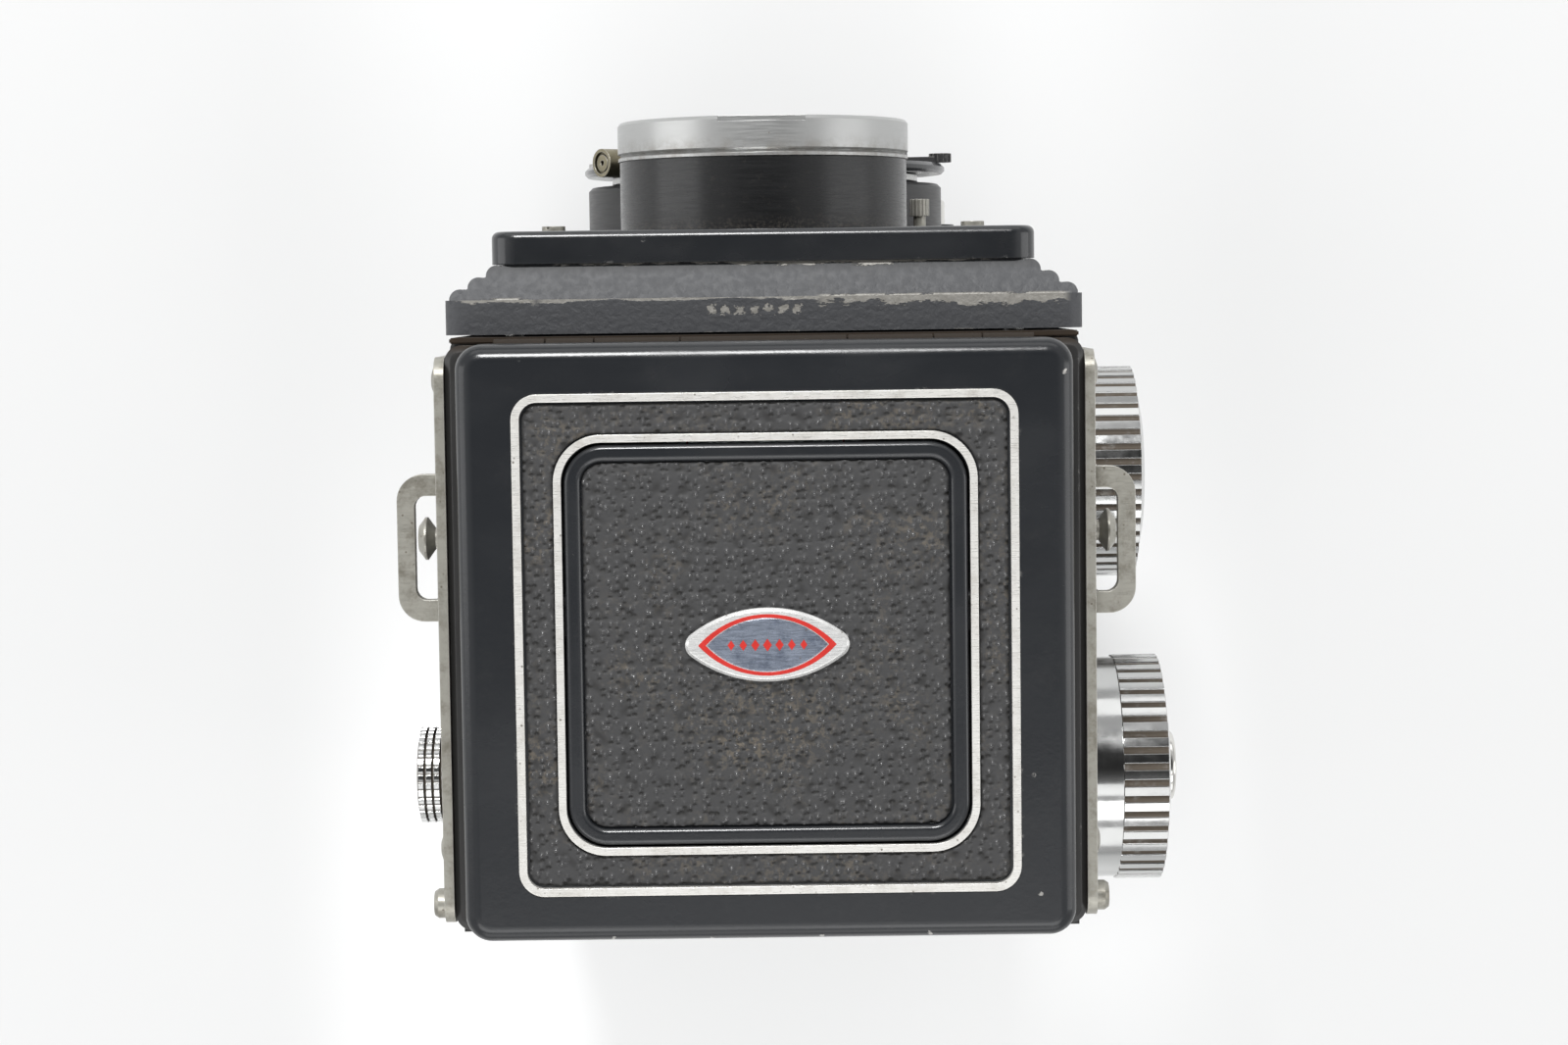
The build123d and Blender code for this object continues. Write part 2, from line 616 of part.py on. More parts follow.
BADGE_LONG = 19.5
BADGE_WIDE = 8.7
with BuildPart() as badge:
    with BuildSketch(Plane.XY.offset(POCKET_Z + 0.6)):
        with Locations((0, 0.2)):
            with BuildLine():
                ThreePointArc((-BADGE_LONG / 2 - 0.7, 0), (0, BADGE_WIDE / 2), (BADGE_LONG / 2 + 0.7, 0))
                ThreePointArc((-BADGE_LONG / 2 - 0.7, 0), (0, -BADGE_WIDE / 2), (BADGE_LONG / 2 + 0.7, 0))
            make_face()
        fillet(vertices(), 1.6)
    extrude(amount=0.9)
    chamfer(badge.edges().group_by(Axis.Z)[-1], 0.35)
badge.part.label = "lid_badge"
export_step(badge.part, "parts/lid_badge.step")

# ---- Magnifier -------------------------------------------------------------------------------------------
LOUPE_R = 12.0
with BuildPart() as magnifier_frame:
    with BuildSketch(Plane.XY.offset(LOUPE_Z - 0.4)):
        with Locations((0, LOUPE_PIVOT_Y + 2.4)):
            Rectangle(53, 3.2)
        with Locations((0, LOUPE_Y)):
            Circle(LOUPE_R + 1.6)
        with BuildLine():
            root = LOUPE_PIVOT_Y + 3
            Polyline((-20, root), (20, root), (13, LOUPE_Y), (-13, LOUPE_Y), close=True)
        make_face()
        with Locations((0, LOUPE_Y)):
            Circle(LOUPE_R, mode=Mode.SUBTRACT)
    extrude(amount=0.8)
    with BuildSketch(Plane.XY.offset(LOUPE_Z - 1.6)):
        with Locations((0, LOUPE_Y)):
            Circle(LOUPE_R + 1.6)
            Circle(LOUPE_R, mode=Mode.SUBTRACT)
    extrude(amount=2.4)
    with Locations(Location((0, LOUPE_PIVOT_Y, LOUPE_Z), (0, 90, 0))):
        Cylinder(0.9, 53)
        Cylinder(0.6, 56.8)
magnifier_frame.part.label = "magnifier_frame"
export_step(magnifier_frame.part, "parts/magnifier_frame.step")


def dome(radius, sag, direction):
    """Middle and rim of a spherical face's section, measured from the plane of its rim."""
    ball = (radius**2 + sag**2) / (2 * sag)
    half = atan2(radius, ball - sag) / 2
    return (ball * sin(half), direction * (sag - ball * (1 - cos(half))))


def glass(y, z, radius, rim, bulge_front, bulge_back):
    """A round lens about Y at height z, its rim from y forwards. The bulges are the rises of its faces."""
    front, back = y - rim, y
    clear = radius - 0.8
    nose = dome(clear, bulge_front, -1)
    tail = dome(clear, bulge_back, 1)
    with BuildPart() as lens:
        with BuildSketch(Plane.XY.offset(z)):
            with BuildLine():
                ThreePointArc((0, front - bulge_front), (nose[0], front + nose[1]), (clear, front))
                Polyline((clear, front), (radius, front), (radius, back), (clear, back))
                ThreePointArc((clear, back), (tail[0], back + tail[1]), (0, back + bulge_back))
                Line((0, back + bulge_back), (0, front - bulge_front))
            make_face()
        revolve(axis=Axis((0, 0, z), (0, 1, 0)))
    return lens.part


with BuildPart() as magnifier_lens:
    lens = glass(0, 0, LOUPE_R, 0.8, 0.9, 0.9)
    add(lens.rotate(Axis.X, 90).translate((0, LOUPE_Y, LOUPE_Z - 0.8)))
magnifier_lens.part.label = "magnifier_lens"
export_step(magnifier_lens.part, "parts/magnifier_lens.step")

# ---- Lens standard ---------------------------------------------------------------------------------------
STANDARD_MID = (STANDARD_FOOT + BODY_TOP) / 2
STANDARD_TALL = BODY_TOP - STANDARD_FOOT
SLOPE_NEAR, SLOPE_FAR = 31.5, 38.1
FLANGE_HALF = 38.8
STANDARD_RIBS = 3
RIB_R = 1.25
ROD_X = GUIDE_X
ROD_LONG = 18.0
LENSES = ((0, VIEW_Z), (0, TAKE_Z))
with BuildPart() as standard_casting:
    with BuildSketch(facing(FLANGE_BACK)):
        with Locations((0, STANDARD_MID)):
            RectangleRounded(2 * FLANGE_HALF, STANDARD_TALL, 2.5)
    extrude(amount=FLANGE_BACK - FLANGE_FACE)
    # slope up to the front plate
    with BuildSketch(facing(FLANGE_FACE)):
        with Locations((0, STANDARD_MID)):
            Rectangle(2 * SLOPE_FAR, STANDARD_TALL - 1.2)
    with BuildSketch(facing(SLOPE_FACE)):
        with Locations((0, STANDARD_MID)):
            Rectangle(2 * SLOPE_NEAR, STANDARD_TALL - 4.4)
    loft(ruled=True)
    # round ribs down both sides, each a step lower than the last
    pitch = (SLOPE_FAR - SLOPE_NEAR) / STANDARD_RIBS
    fall = (FLANGE_FACE - SLOPE_FACE) / STANDARD_RIBS
    for n in range(STANDARD_RIBS):
        for side in (-1, 1):
            x = side * (SLOPE_NEAR + pitch * (n + 0.45))
            y = SLOPE_FACE + fall * (n + 0.55) + 0.55
            with Locations((x, y, STANDARD_MID)):
                Cylinder(RIB_R, STANDARD_TALL - 1.2)
    # the ribs end in the planes of the slope's top and foot
    with BuildSketch(beside(-BODY_HALF)):
        for way in (-1, 1):
            edge = STANDARD_MID + way * STANDARD_TALL / 2
            with BuildLine():
                Polyline(
                    (FLANGE_FACE, edge - way * 0.6),
                    (SLOPE_FACE, edge - way * 2.2),
                    (SLOPE_FACE, edge + way),
                    (FLANGE_FACE, edge + way),
                    close=True,
                )
            make_face()
    extrude(amount=2 * BODY_HALF, mode=Mode.SUBTRACT)
    # hollow behind the slope
    with BuildSketch(facing(FLANGE_BACK)):
        with Locations((0, STANDARD_MID)):
            RectangleRounded(2 * 27, STANDARD_TALL - 14, 3)
    extrude(amount=6.5, mode=Mode.SUBTRACT)
    with BuildSketch(facing(FLANGE_BACK)):
        with Locations(*LENSES):
            Circle(TUBE_R)
    extrude(amount=12, mode=Mode.SUBTRACT)
    with BuildSketch(facing(FLANGE_BACK)):
        with Locations(*[(x, z) for x in (-ROD_X, ROD_X) for z in GUIDE_ZS]):
            Circle(GUIDE_R)
    extrude(amount=3.5, mode=Mode.SUBTRACT)
standard_casting.part.label = "standard_casting"
export_step(standard_casting.part, "parts/standard_casting.step")

RELEASE_X, RELEASE_Z = -24.0, 22.0
RELEASE_R = 3.9
RECESS_Y = -46.8  # floor of the release button's recess
POST_X, POST_Z = -21.3, 80.0
FRONT_HALF = 33.2
FRONT_TOP = 129.4
FRONT_FOOT = 13.6
with BuildPart() as front_plate:
    with BuildSketch(facing(SLOPE_FACE)):
        with Locations((0, (FRONT_TOP + FRONT_FOOT) / 2)):
            RectangleRounded(2 * FRONT_HALF, FRONT_TOP - FRONT_FOOT, 3)
    extrude(amount=SLOPE_FACE - FRONT_FACE)
    fillet(front_plate.faces().sort_by(Axis.Y)[0].edges(), 0.9)
    # collar round the shutter release
    with BuildSketch(facing(FRONT_FACE)):
        with Locations((RELEASE_X, RELEASE_Z)):
            Circle(RELEASE_R + 1.4)
    extrude(amount=2.4)
    with BuildSketch(facing(RECESS_Y)):
        with Locations((RELEASE_X, RELEASE_Z)):
            Circle(RELEASE_R + PIN_GAP)
    extrude(amount=6, mode=Mode.SUBTRACT)
    with BuildSketch(facing(SLOPE_FACE + 1)):
        with Locations(*LENSES):
            Circle(TUBE_R)
        with Locations((RELEASE_X, RELEASE_Z)):
            Circle(1.55)
    extrude(amount=8, mode=Mode.SUBTRACT)
front_plate.part.label = "front_plate"
export_step(front_plate.part, "parts/front_plate.step")

with BuildPart() as guide_rods:
    with BuildSketch(facing(FLANGE_BACK - 3.5)):
        with Locations(*[(x, z) for x in (-ROD_X, ROD_X) for z in GUIDE_ZS]):
            Circle(GUIDE_R)
    extrude(amount=-ROD_LONG)
guide_rods.part.label = "guide_rods"
export_step(guide_rods.part, "parts/guide_rods.step")

TUBE_BACK = -27.5
with BuildPart() as light_tubes:
    with BuildSketch(facing(TUBE_BACK)):
        with Locations(*LENSES):
            Circle(TUBE_R)
            Circle(TUBE_R - 0.8, mode=Mode.SUBTRACT)
    extrude(amount=TUBE_BACK - FRONT_FACE)
light_tubes.part.label = "light_tubes"
export_step(light_tubes.part, "parts/light_tubes.step")

# The focusing rail runs back inside the right side, and its pin rides in the cam's spiral slot.
RAIL_X = -35.9
RAIL_SHEET = 0.65
FOLLOWER_R = 0.9
FOLLOWER_START = 5.0  # from the knob's axis to the pin, focused at infinity
CAM_X = -36.9
CAM_SHEET = 0.9
CAM_R = 15.0
with BuildPart() as focus_rail:
    with BuildSketch(beside(RAIL_X)):
        with Locations(((FLANGE_BACK + FOCUS_Y - FOLLOWER_START + 1.6) / 2, FOCUS_Z)):
            Rectangle(FOCUS_Y - FOLLOWER_START + 1.6 - FLANGE_BACK, 4)
    extrude(amount=-RAIL_SHEET)
    with BuildSketch(beside(RAIL_X - RAIL_SHEET)):
        with Locations((FOCUS_Y - FOLLOWER_START, FOCUS_Z)):
            Circle(FOLLOWER_R)
    extrude(amount=-1.15)
focus_rail.part.label = "focus_rail"
export_step(focus_rail.part, "parts/focus_rail.step")


def turned(z, profile):
    """A solid turned about the lens axis at height z. profile is (radius, Y) points round the section."""
    with BuildPart() as shape:
        with BuildSketch(Plane.XY.offset(z)):
            with BuildLine():
                Polyline(*profile, close=True)
            make_face()
        revolve(axis=Axis((0, 0, z), (0, 1, 0)))
    return shape.part


# ---- Viewing lens ----------------------------------------------------------------------------------------
GLASS_R = 12.6
with BuildPart() as viewing_barrel:
    add(turned(VIEW_Z, [
        (LENS_R, FRONT_FACE),
        (LENS_R, RING_BACK),
        (17.0, RING_BACK),
        (GLASS_R - 0.6, -55.0),
        (GLASS_R - 0.6, -54.2),
        (GLASS_R, -54.2),
        (GLASS_R, -51.0),
        (TUBE_R, -51.0),
        (TUBE_R, FRONT_FACE),
    ]))
viewing_barrel.part.label = "viewing_barrel"
export_step(viewing_barrel.part, "parts/viewing_barrel.step")


def bayonet_ring(z, back, base, seat, face):
    """A lens ring: its base radius, the groove behind its seat, three inner claws and a notch at the top."""
    with BuildPart() as ring:
        add(turned(z, [
            (base, back),
            (base, seat + 0.6),
            (base - 0.45, seat + 0.3),
            (RING_R, seat),
            (RING_R, face + 0.4),
            (RING_R - 0.35, face),
            (17.5, face),
            (17.3, face + 0.3),
            (17.3, back - 1.2),
            (17.0, back - 1.2),
            (17.0, back),
        ]))
        with BuildSketch(facing(face + 0.8)):
            with Locations((0, z)):
                Circle(17.35)
                Circle(16.5, mode=Mode.SUBTRACT)
                with PolarLocations(17, 3, start_angle=90):
                    Rectangle(10, 26, mode=Mode.SUBTRACT)
        extrude(amount=0.7)
        with BuildSketch(facing(face + 0.7)):
            with Locations((0, z + RING_R)):
                Rectangle(11, 2.6)
        extrude(amount=0.8, mode=Mode.SUBTRACT)
    return ring.part


with BuildPart() as viewing_ring:
    add(bayonet_ring(VIEW_Z, RING_BACK, RING_R - 0.05, RING_BACK - 1.0, RING_FACE))
viewing_ring.part.label = "viewing_ring"
export_step(viewing_ring.part, "parts/viewing_ring.step")

with BuildPart() as viewing_glass:
    add(glass(-51.6, VIEW_Z, GLASS_R, 2.6, 2.0, 0.3))
    add(glass(-47.0, VIEW_Z, TUBE_R - 0.8, 1.6, 0.6, 0.8))
viewing_glass.part.label = "viewing_glass"
export_step(viewing_glass.part, "parts/viewing_glass.step")

# ---- Taking lens in its shutter --------------------------------------------------------------------------
RING2_BACK, RING2_FACE = FACE_FRONT, -64.6
CORE_R = 20.0
SPEED_R = 22.0
CLEAR_R = 19.7  # the shutter is cut away round the viewing barrel
IRIS_Y = -52.6
SOCKET_ROOT = 1.5
SOCKET_TURN = 41.6  # degrees round the shutter from +X
SOCKET_X = 27.5 * cos(radians(SOCKET_TURN))
SOCKET_Z = TAKE_Z + 27.5 * sin(radians(SOCKET_TURN))
with BuildPart() as shutter_housing:
    add(turned(TAKE_Z, [
        (DRUM_R, FRONT_FACE),
        (DRUM_R, DRUM_FACE + 0.5),
        (DRUM_R - 0.5, DRUM_FACE),
        (CORE_R, DRUM_FACE),
        (CORE_R, FACE_BACK),
        (13.2, FACE_BACK),
        (13.2, -53.4),
        (12.4, -53.4),
        (12.4, -50.4),
        (TUBE_R, -50.4),
        (TUBE_R, FRONT_FACE),
    ]))
    with BuildSketch(facing(FRONT_FACE)):
        with Locations((0, VIEW_Z)):
            Circle(CLEAR_R)
    extrude(amount=12, mode=Mode.SUBTRACT)
shutter_housing.part.label = "shutter_housing"
export_step(shutter_housing.part, "parts/shutter_housing.step")

with BuildPart() as iris_blades:
    with BuildSketch(facing(IRIS_Y)):
        with Locations((0, TAKE_Z)):
            Circle(12.4)
            RegularPolygon(7.6, 10, mode=Mode.SUBTRACT)
            with PolarLocations(7.6, 10):
                with Locations(Location((6.5, 4.6), 35)):
                    Rectangle(17, 0.1, mode=Mode.SUBTRACT)
    extrude(amount=0.3)
iris_blades.part.label = "iris_blades"
export_step(iris_blades.part, "parts/iris_blades.step")

with BuildPart() as shutter_face:
    add(turned(TAKE_Z, [
        (FACE_R - 0.4, FACE_BACK),
        (FACE_R, FACE_BACK - 0.4),
        (FACE_R, FACE_FRONT + 0.5),
        (FACE_R - 0.5, FACE_FRONT),
        (17.0, FACE_FRONT),
        (11.9, -58.4),
        (11.9, FACE_BACK),
    ]))
    with BuildSketch(facing(FACE_BACK)):
        with Locations((0, VIEW_Z)):
            Circle(CLEAR_R)
    extrude(amount=4, mode=Mode.SUBTRACT)
    with Locations(Location((SOCKET_X, -59.2, SOCKET_Z), (0, 90 - SOCKET_TURN, 0))):
        Cylinder(SOCKET_ROOT, 5.0, mode=Mode.SUBTRACT)
shutter_face.part.label = "shutter_face"
export_step(shutter_face.part, "parts/shutter_face.step")

with BuildPart() as taking_ring:
    add(bayonet_ring(TAKE_Z, RING2_BACK, RING_R - 0.05, -61.7, RING2_FACE))
taking_ring.part.label = "taking_ring"
export_step(taking_ring.part, "parts/taking_ring.step")

with BuildPart() as taking_glass:
    add(glass(-54.6, TAKE_Z, 13.2, 2.4, 1.2, 0.4))
    add(glass(-49.2, TAKE_Z, TUBE_R, 1.0, 0.5, 0.8))
taking_glass.part.label = "taking_glass"
export_step(taking_glass.part, "parts/taking_glass.step")

with BuildPart() as sync_socket:
    with Locations(Location((SOCKET_X, -59.2, SOCKET_Z), (0, 90 - SOCKET_TURN, 0))):
        Cylinder(SOCKET_ROOT, 5.0)
        with Locations((0, 0, 0.85)):
            Cylinder(1.95, 3.3)
        with Locations((0, 0, 2.25)):
            Cylinder(1.5, 0.6, mode=Mode.SUBTRACT)
        with Locations((0, 0, 2.1)):
            Cylinder(1.15, 0.5)
        with Locations((0, 0, 2.0)):
            Cylinder(0.35, 1.4, mode=Mode.SUBTRACT)
sync_socket.part.label = "sync_socket"
export_step(sync_socket.part, "parts/sync_socket.step")

with BuildPart() as terminal_post:
    with BuildSketch(facing(FRONT_FACE)):
        with Locations((POST_X, POST_Z)):
            Circle(2.5)
    extrude(amount=0.5)
    with BuildSketch(facing(FRONT_FACE)):
        with Locations((POST_X, POST_Z)):
            Circle(0.85)
    extrude(amount=3)
    with BuildSketch(facing(-51.3)):
        with Locations((POST_X, POST_Z)):
            Circle(1.35)
            with PolarLocations(1.35, 14):
                Rectangle(0.3, 0.25, mode=Mode.SUBTRACT)
    extrude(amount=2.3)
terminal_post.part.label = "terminal_post"
export_step(terminal_post.part, "parts/terminal_post.step")

FRONT_SCREWS = ((-26.0, 121.0), (26.0, 121.0), (-26.0, 35.0), (26.0, 35.0))
with BuildPart() as front_screws:
    with BuildSketch(facing(FRONT_FACE)):
        with Locations(*FRONT_SCREWS):
            Circle(1.45)
    extrude(amount=0.7)
    with BuildSketch(facing(FRONT_FACE - 0.7)):
        with Locations(*[Location((x, z), 25 + 40 * n) for n, (x, z) in enumerate(FRONT_SCREWS)]):
            Rectangle(3.2, 0.4)
    extrude(amount=-0.35, mode=Mode.SUBTRACT)
front_screws.part.label = "front_screws"
export_step(front_screws.part, "parts/front_screws.step")


def lens_lever(back, sheet, bore, rim, turn, reach, pad_r, pad_face):
    """A lever on a ring about the taking lens. turn is its arm's angle, pad_r and pad_face its finger pad."""
    with BuildPart() as lever:
        with BuildSketch(facing(back)):
            with Locations((0, TAKE_Z)):
                Circle(rim)
            with Locations(Location((0, TAKE_Z), turn)):
                with Locations(((rim + reach) / 2 - 1, 0)):
                    Rectangle(reach - rim + 2, 2.6)
            with Locations((0, TAKE_Z)):
                Circle(bore, mode=Mode.SUBTRACT)
        extrude(amount=sheet)
        with BuildSketch(facing(back)):
            with Locations(Location((0, TAKE_Z), turn)):
                with Locations((reach, 0)):
                    Circle(pad_r)
                    with PolarLocations(pad_r, 12):
                        Rectangle(0.4, 0.35, mode=Mode.SUBTRACT)
        extrude(amount=back - pad_face)
    return lever.part


LEVER_BORE = RING_R
SPEED_TURN, COCK_TURN, APERTURE_TURN = 225.0, 172.0, -80.0
with BuildPart() as speed_lever:
    add(lens_lever(-56.75, 0.9, CORE_R + PIN_GAP, SPEED_R, SPEED_TURN, 28.6, 1.5, -60.3))
speed_lever.part.label = "speed_lever"
export_step(speed_lever.part, "parts/speed_lever.step")

with BuildPart() as cocking_lever:
    add(lens_lever(-59.35, 0.8, LEVER_BORE, 20.6, COCK_TURN, 25.4, 1.6, -60.6))
cocking_lever.part.label = "cocking_lever"
export_step(cocking_lever.part, "parts/cocking_lever.step")

with BuildPart() as aperture_lever:
    add(lens_lever(-60.3, 0.8, LEVER_BORE, 20.6, APERTURE_TURN, 26.0, 1.5, -62.6))
aperture_lever.part.label = "aperture_lever"
export_step(aperture_lever.part, "parts/aperture_lever.step")

FLASH_TURN = radians(-8)
FLASH_X = 23.7 * cos(FLASH_TURN)
FLASH_Z = TAKE_Z + 23.7 * sin(FLASH_TURN)
with BuildPart() as flash_lever:
    with BuildSketch(facing(FACE_FRONT)):
        with Locations((FLASH_X, FLASH_Z)):
            Circle(2.1)
        with Locations((FLASH_X, FLASH_Z - 2.6)):
            RectangleRounded(1.6, 5.2, 0.5)
    extrude(amount=0.8)
flash_lever.part.label = "flash_lever"
export_step(flash_lever.part, "parts/flash_lever.step")

CABLE_R = 1.4
CABLE_LONG = 3.5
BUTTON_FACE = -55.2
BUTTON_BACK = -49.0
with BuildPart() as release_button:
    with BuildSketch(facing(BUTTON_BACK)):
        with Locations((RELEASE_X, RELEASE_Z)):
            Circle(RELEASE_R)
    extrude(amount=BUTTON_BACK - BUTTON_FACE)
    fillet(release_button.faces().sort_by(Axis.Y)[0].edges(), 0.7)
    with BuildSketch(facing(BUTTON_FACE)):
        with Locations((RELEASE_X, RELEASE_Z)):
            Circle(CABLE_R)
    extrude(amount=-CABLE_LONG, mode=Mode.SUBTRACT)
    with BuildSketch(facing(BUTTON_BACK)):
        with Locations((RELEASE_X, RELEASE_Z)):
            Circle(1.5)
    extrude(amount=-1.6)
release_button.part.label = "release_button"
export_step(release_button.part, "parts/release_button.step")


def big_knob(y, z, radius, back, ribs_from, ribs_to, dome, bore):
    """A knob on the right hand side, its shaft bored 3 mm into its back: collar, ribs and a shallow dome."""
    with BuildPart() as knob:
        with BuildSketch(beside(back)):
            with Locations((y, z)):
                Circle(radius - 0.3)
        extrude(amount=ribs_from - back)
        chamfer(knob.faces().sort_by(Axis.X)[-1].edges(), 0.4)
        with BuildSketch(beside(ribs_from)):
            with Locations((y, z)):
                Circle(radius)
                with PolarLocations(radius + 0.1, RIBS):
                    Circle(0.5, mode=Mode.SUBTRACT)
        extrude(amount=ribs_to - ribs_from)
        with BuildSketch(beside(ribs_to)):
            with Locations((y, z)):
                Circle(radius - 1.2)
        with BuildSketch(beside(dome)):
            with Locations((y, z)):
                Circle(radius - 4.5)
        loft(ruled=True)
        with BuildSketch(beside(back)):
            with Locations((y, z)):
                Circle(bore)
        extrude(amount=-3, mode=Mode.SUBTRACT)
    return knob.part


# ---- Focus knob, and its spiral cam on the shaft ---------------------------------------------------------
KNOB_BACK = -40.2
with BuildPart() as focus_knob:
    add(big_knob(FOCUS_Y, FOCUS_Z, 15.1, KNOB_BACK, -41.4, -52.1, -53.0, SHAFT_R))
focus_knob.part.label = "focus_knob"
export_step(focus_knob.part, "parts/focus_knob.step")

SLOT_HALF = FOLLOWER_R + 0.07
SLOT_STEPS = 36


def spiral(turn, offset):
    """A point beside the cam's spiral. turn is the knob's angle in degrees, offset the distance outwards."""
    angle = radians(turn)
    reach = FOLLOWER_START + FOCUS_TRAVEL * turn / FOCUS_TURN
    rise = FOCUS_TRAVEL / radians(FOCUS_TURN)
    lean = atan2(rise, reach)
    y = -reach * cos(angle) - offset * cos(angle - lean)
    z = -reach * sin(angle) - offset * sin(angle - lean)
    return (FOCUS_Y + y, FOCUS_Z + z)


def spiral_end(turn, ahead):
    """The middle of the slot's rounded end. ahead is 1 past the far end and -1 before the near one."""
    middle = spiral(turn, 0)
    beyond = spiral(turn + ahead * 0.5, 0)
    heading = atan2(beyond[1] - middle[1], beyond[0] - middle[0])
    return (middle[0] + SLOT_HALF * cos(heading), middle[1] + SLOT_HALF * sin(heading))


with BuildPart() as focus_cam:
    with BuildSketch(beside(CAM_X)):
        with Locations((FOCUS_Y, FOCUS_Z)):
            Circle(CAM_R)
        turns = [FOCUS_TURN * n / SLOT_STEPS for n in range(SLOT_STEPS + 1)]
        with BuildLine() as slot:
            outer = [spiral(turn, SLOT_HALF) for turn in turns]
            inner = [spiral(turn, -SLOT_HALF) for turn in turns]
            Spline(*outer)
            ThreePointArc(outer[-1], spiral_end(FOCUS_TURN, 1), inner[-1])
            Spline(*reversed(inner))
            ThreePointArc(inner[0], spiral_end(0, -1), outer[0])
        make_face(mode=Mode.SUBTRACT)
    extrude(amount=-CAM_SHEET)
    with BuildSketch(beside(-33.6)):
        with Locations((FOCUS_Y, FOCUS_Z)):
            Circle(SHAFT_R)
    extrude(amount=KNOB_BACK - 3 + 33.6)
focus_cam.part.label = "focus_cam"
export_step(focus_cam.part, "parts/focus_cam.step")

# ---- Film advance: knob, clutch button, shaft, take-up spool and frame counter ---------------------------
ADVANCE_FACE = -51.9
CLUTCH_R = 4.6
with BuildPart() as advance_knob:
    add(big_knob(TAKE_UP_Y, TAKE_UP_Z, 14.85, KNOB_BACK, -45.4, -51.2, ADVANCE_FACE, KEY_R))
    with BuildSketch(beside(ADVANCE_FACE)):
        with Locations((TAKE_UP_Y, TAKE_UP_Z)):
            Circle(CLUTCH_R + PIN_GAP)
    extrude(amount=3.4, mode=Mode.SUBTRACT)
advance_knob.part.label = "advance_knob"
export_step(advance_knob.part, "parts/advance_knob.step")

with BuildPart() as advance_button:
    with BuildSketch(beside(ADVANCE_FACE + 2.2)):
        with Locations((TAKE_UP_Y, TAKE_UP_Z)):
            Circle(CLUTCH_R)
    extrude(amount=-3.7)
    fillet(advance_button.faces().sort_by(Axis.X)[0].edges(), 0.6)
advance_button.part.label = "advance_button"
export_step(advance_button.part, "parts/advance_button.step")

SPOOL_HALF = 32.95
SPOOL_BORE = 2.3
KEY_SLOT = 1.5
KEY_LONG = 3.5
with BuildPart() as advance_shaft:
    with BuildSketch(beside(-SPOOL_HALF)):
        with Locations((TAKE_UP_Y, TAKE_UP_Z)):
            Circle(KEY_R)
    extrude(amount=KNOB_BACK - 3 + SPOOL_HALF)
    with BuildSketch(beside(-SPOOL_HALF)):
        with Locations((TAKE_UP_Y, TAKE_UP_Z)):
            Rectangle(1.3, 7.0)
    extrude(amount=KEY_LONG - 0.3)
advance_shaft.part.label = "advance_shaft"
export_step(advance_shaft.part, "parts/advance_shaft.step")

with BuildPart() as take_up_spool:
    with BuildSketch(beside(-SPOOL_HALF)):
        with Locations((TAKE_UP_Y, TAKE_UP_Z)):
            Circle(SPOOL_R)
    extrude(amount=1.3)
    with BuildSketch(beside(SPOOL_HALF)):
        with Locations((TAKE_UP_Y, TAKE_UP_Z)):
            Circle(SPOOL_R)
    extrude(amount=-1.3)
    with BuildSketch(beside(-SPOOL_HALF)):
        with Locations((TAKE_UP_Y, TAKE_UP_Z)):
            Circle(5.6)
    extrude(amount=2 * SPOOL_HALF)
    for end in (-1, 1):
        with BuildSketch(beside(end * SPOOL_HALF)):
            with Locations((TAKE_UP_Y, TAKE_UP_Z)):
                Circle(SPOOL_BORE)
                Rectangle(KEY_SLOT, 7.4)
        extrude(amount=-end * 5, mode=Mode.SUBTRACT)
    # slit for the film's paper tongue
    with BuildSketch(Plane.XY.offset(TAKE_UP_Z - 10)):
        with Locations((0, TAKE_UP_Y)):
            Rectangle(46, 1.2)
    extrude(amount=20, mode=Mode.SUBTRACT)
take_up_spool.part.label = "take_up_spool"
export_step(take_up_spool.part, "parts/take_up_spool.step")

with BuildPart() as counter_dial:
    with BuildSketch(beside(CAM_X)):
        with Locations((COUNTER_Y, COUNTER_Z)):
            Circle(COUNTER_R)
            with PolarLocations(COUNTER_R, 40):
                Rectangle(0.8, 0.4, mode=Mode.SUBTRACT)
    extrude(amount=-0.8)
    with BuildSketch(beside(CAM_X)):
        with Locations((COUNTER_Y, COUNTER_Z)):
            Circle(COUNTER_PIN_R)
    extrude(amount=2.9)
counter_dial.part.label = "counter_dial"
export_step(counter_dial.part, "parts/counter_dial.step")


def spool_knob(y, z):
    """A pull-out knob of stacked rings on the left, with the key that enters the spool."""
    with BuildPart() as knob:
        for n in range(6):
            with BuildSketch(beside(40.4 + 1.04 * n)):
                with Locations((y, z)):
                    Circle(6.35)
                    with PolarLocations(6.4, 36):
                        Circle(0.24, mode=Mode.SUBTRACT)
            extrude(amount=0.72)
        with BuildSketch(beside(40.4)):
            with Locations((y, z)):
                Circle(5.5)
        extrude(amount=6.1)
        with BuildSketch(beside(33.4)):
            with Locations((y, z)):
                Circle(KEY_R)
        extrude(amount=7.2)
        with BuildSketch(beside(29.6)):
            with Locations((y, z)):
                Circle(SPOOL_BORE - 0.35)
        extrude(amount=4)
    return knob.part


with BuildPart() as spool_knob_upper:
    add(spool_knob(TAKE_UP_Y, TAKE_UP_Z))
spool_knob_upper.part.label = "spool_knob_upper"
export_step(spool_knob_upper.part, "parts/spool_knob_upper.step")

with BuildPart() as spool_knob_lower:
    add(spool_knob(SUPPLY_Y, SUPPLY_Z))
spool_knob_lower.part.label = "spool_knob_lower"
export_step(spool_knob_lower.part, "parts/spool_knob_lower.step")

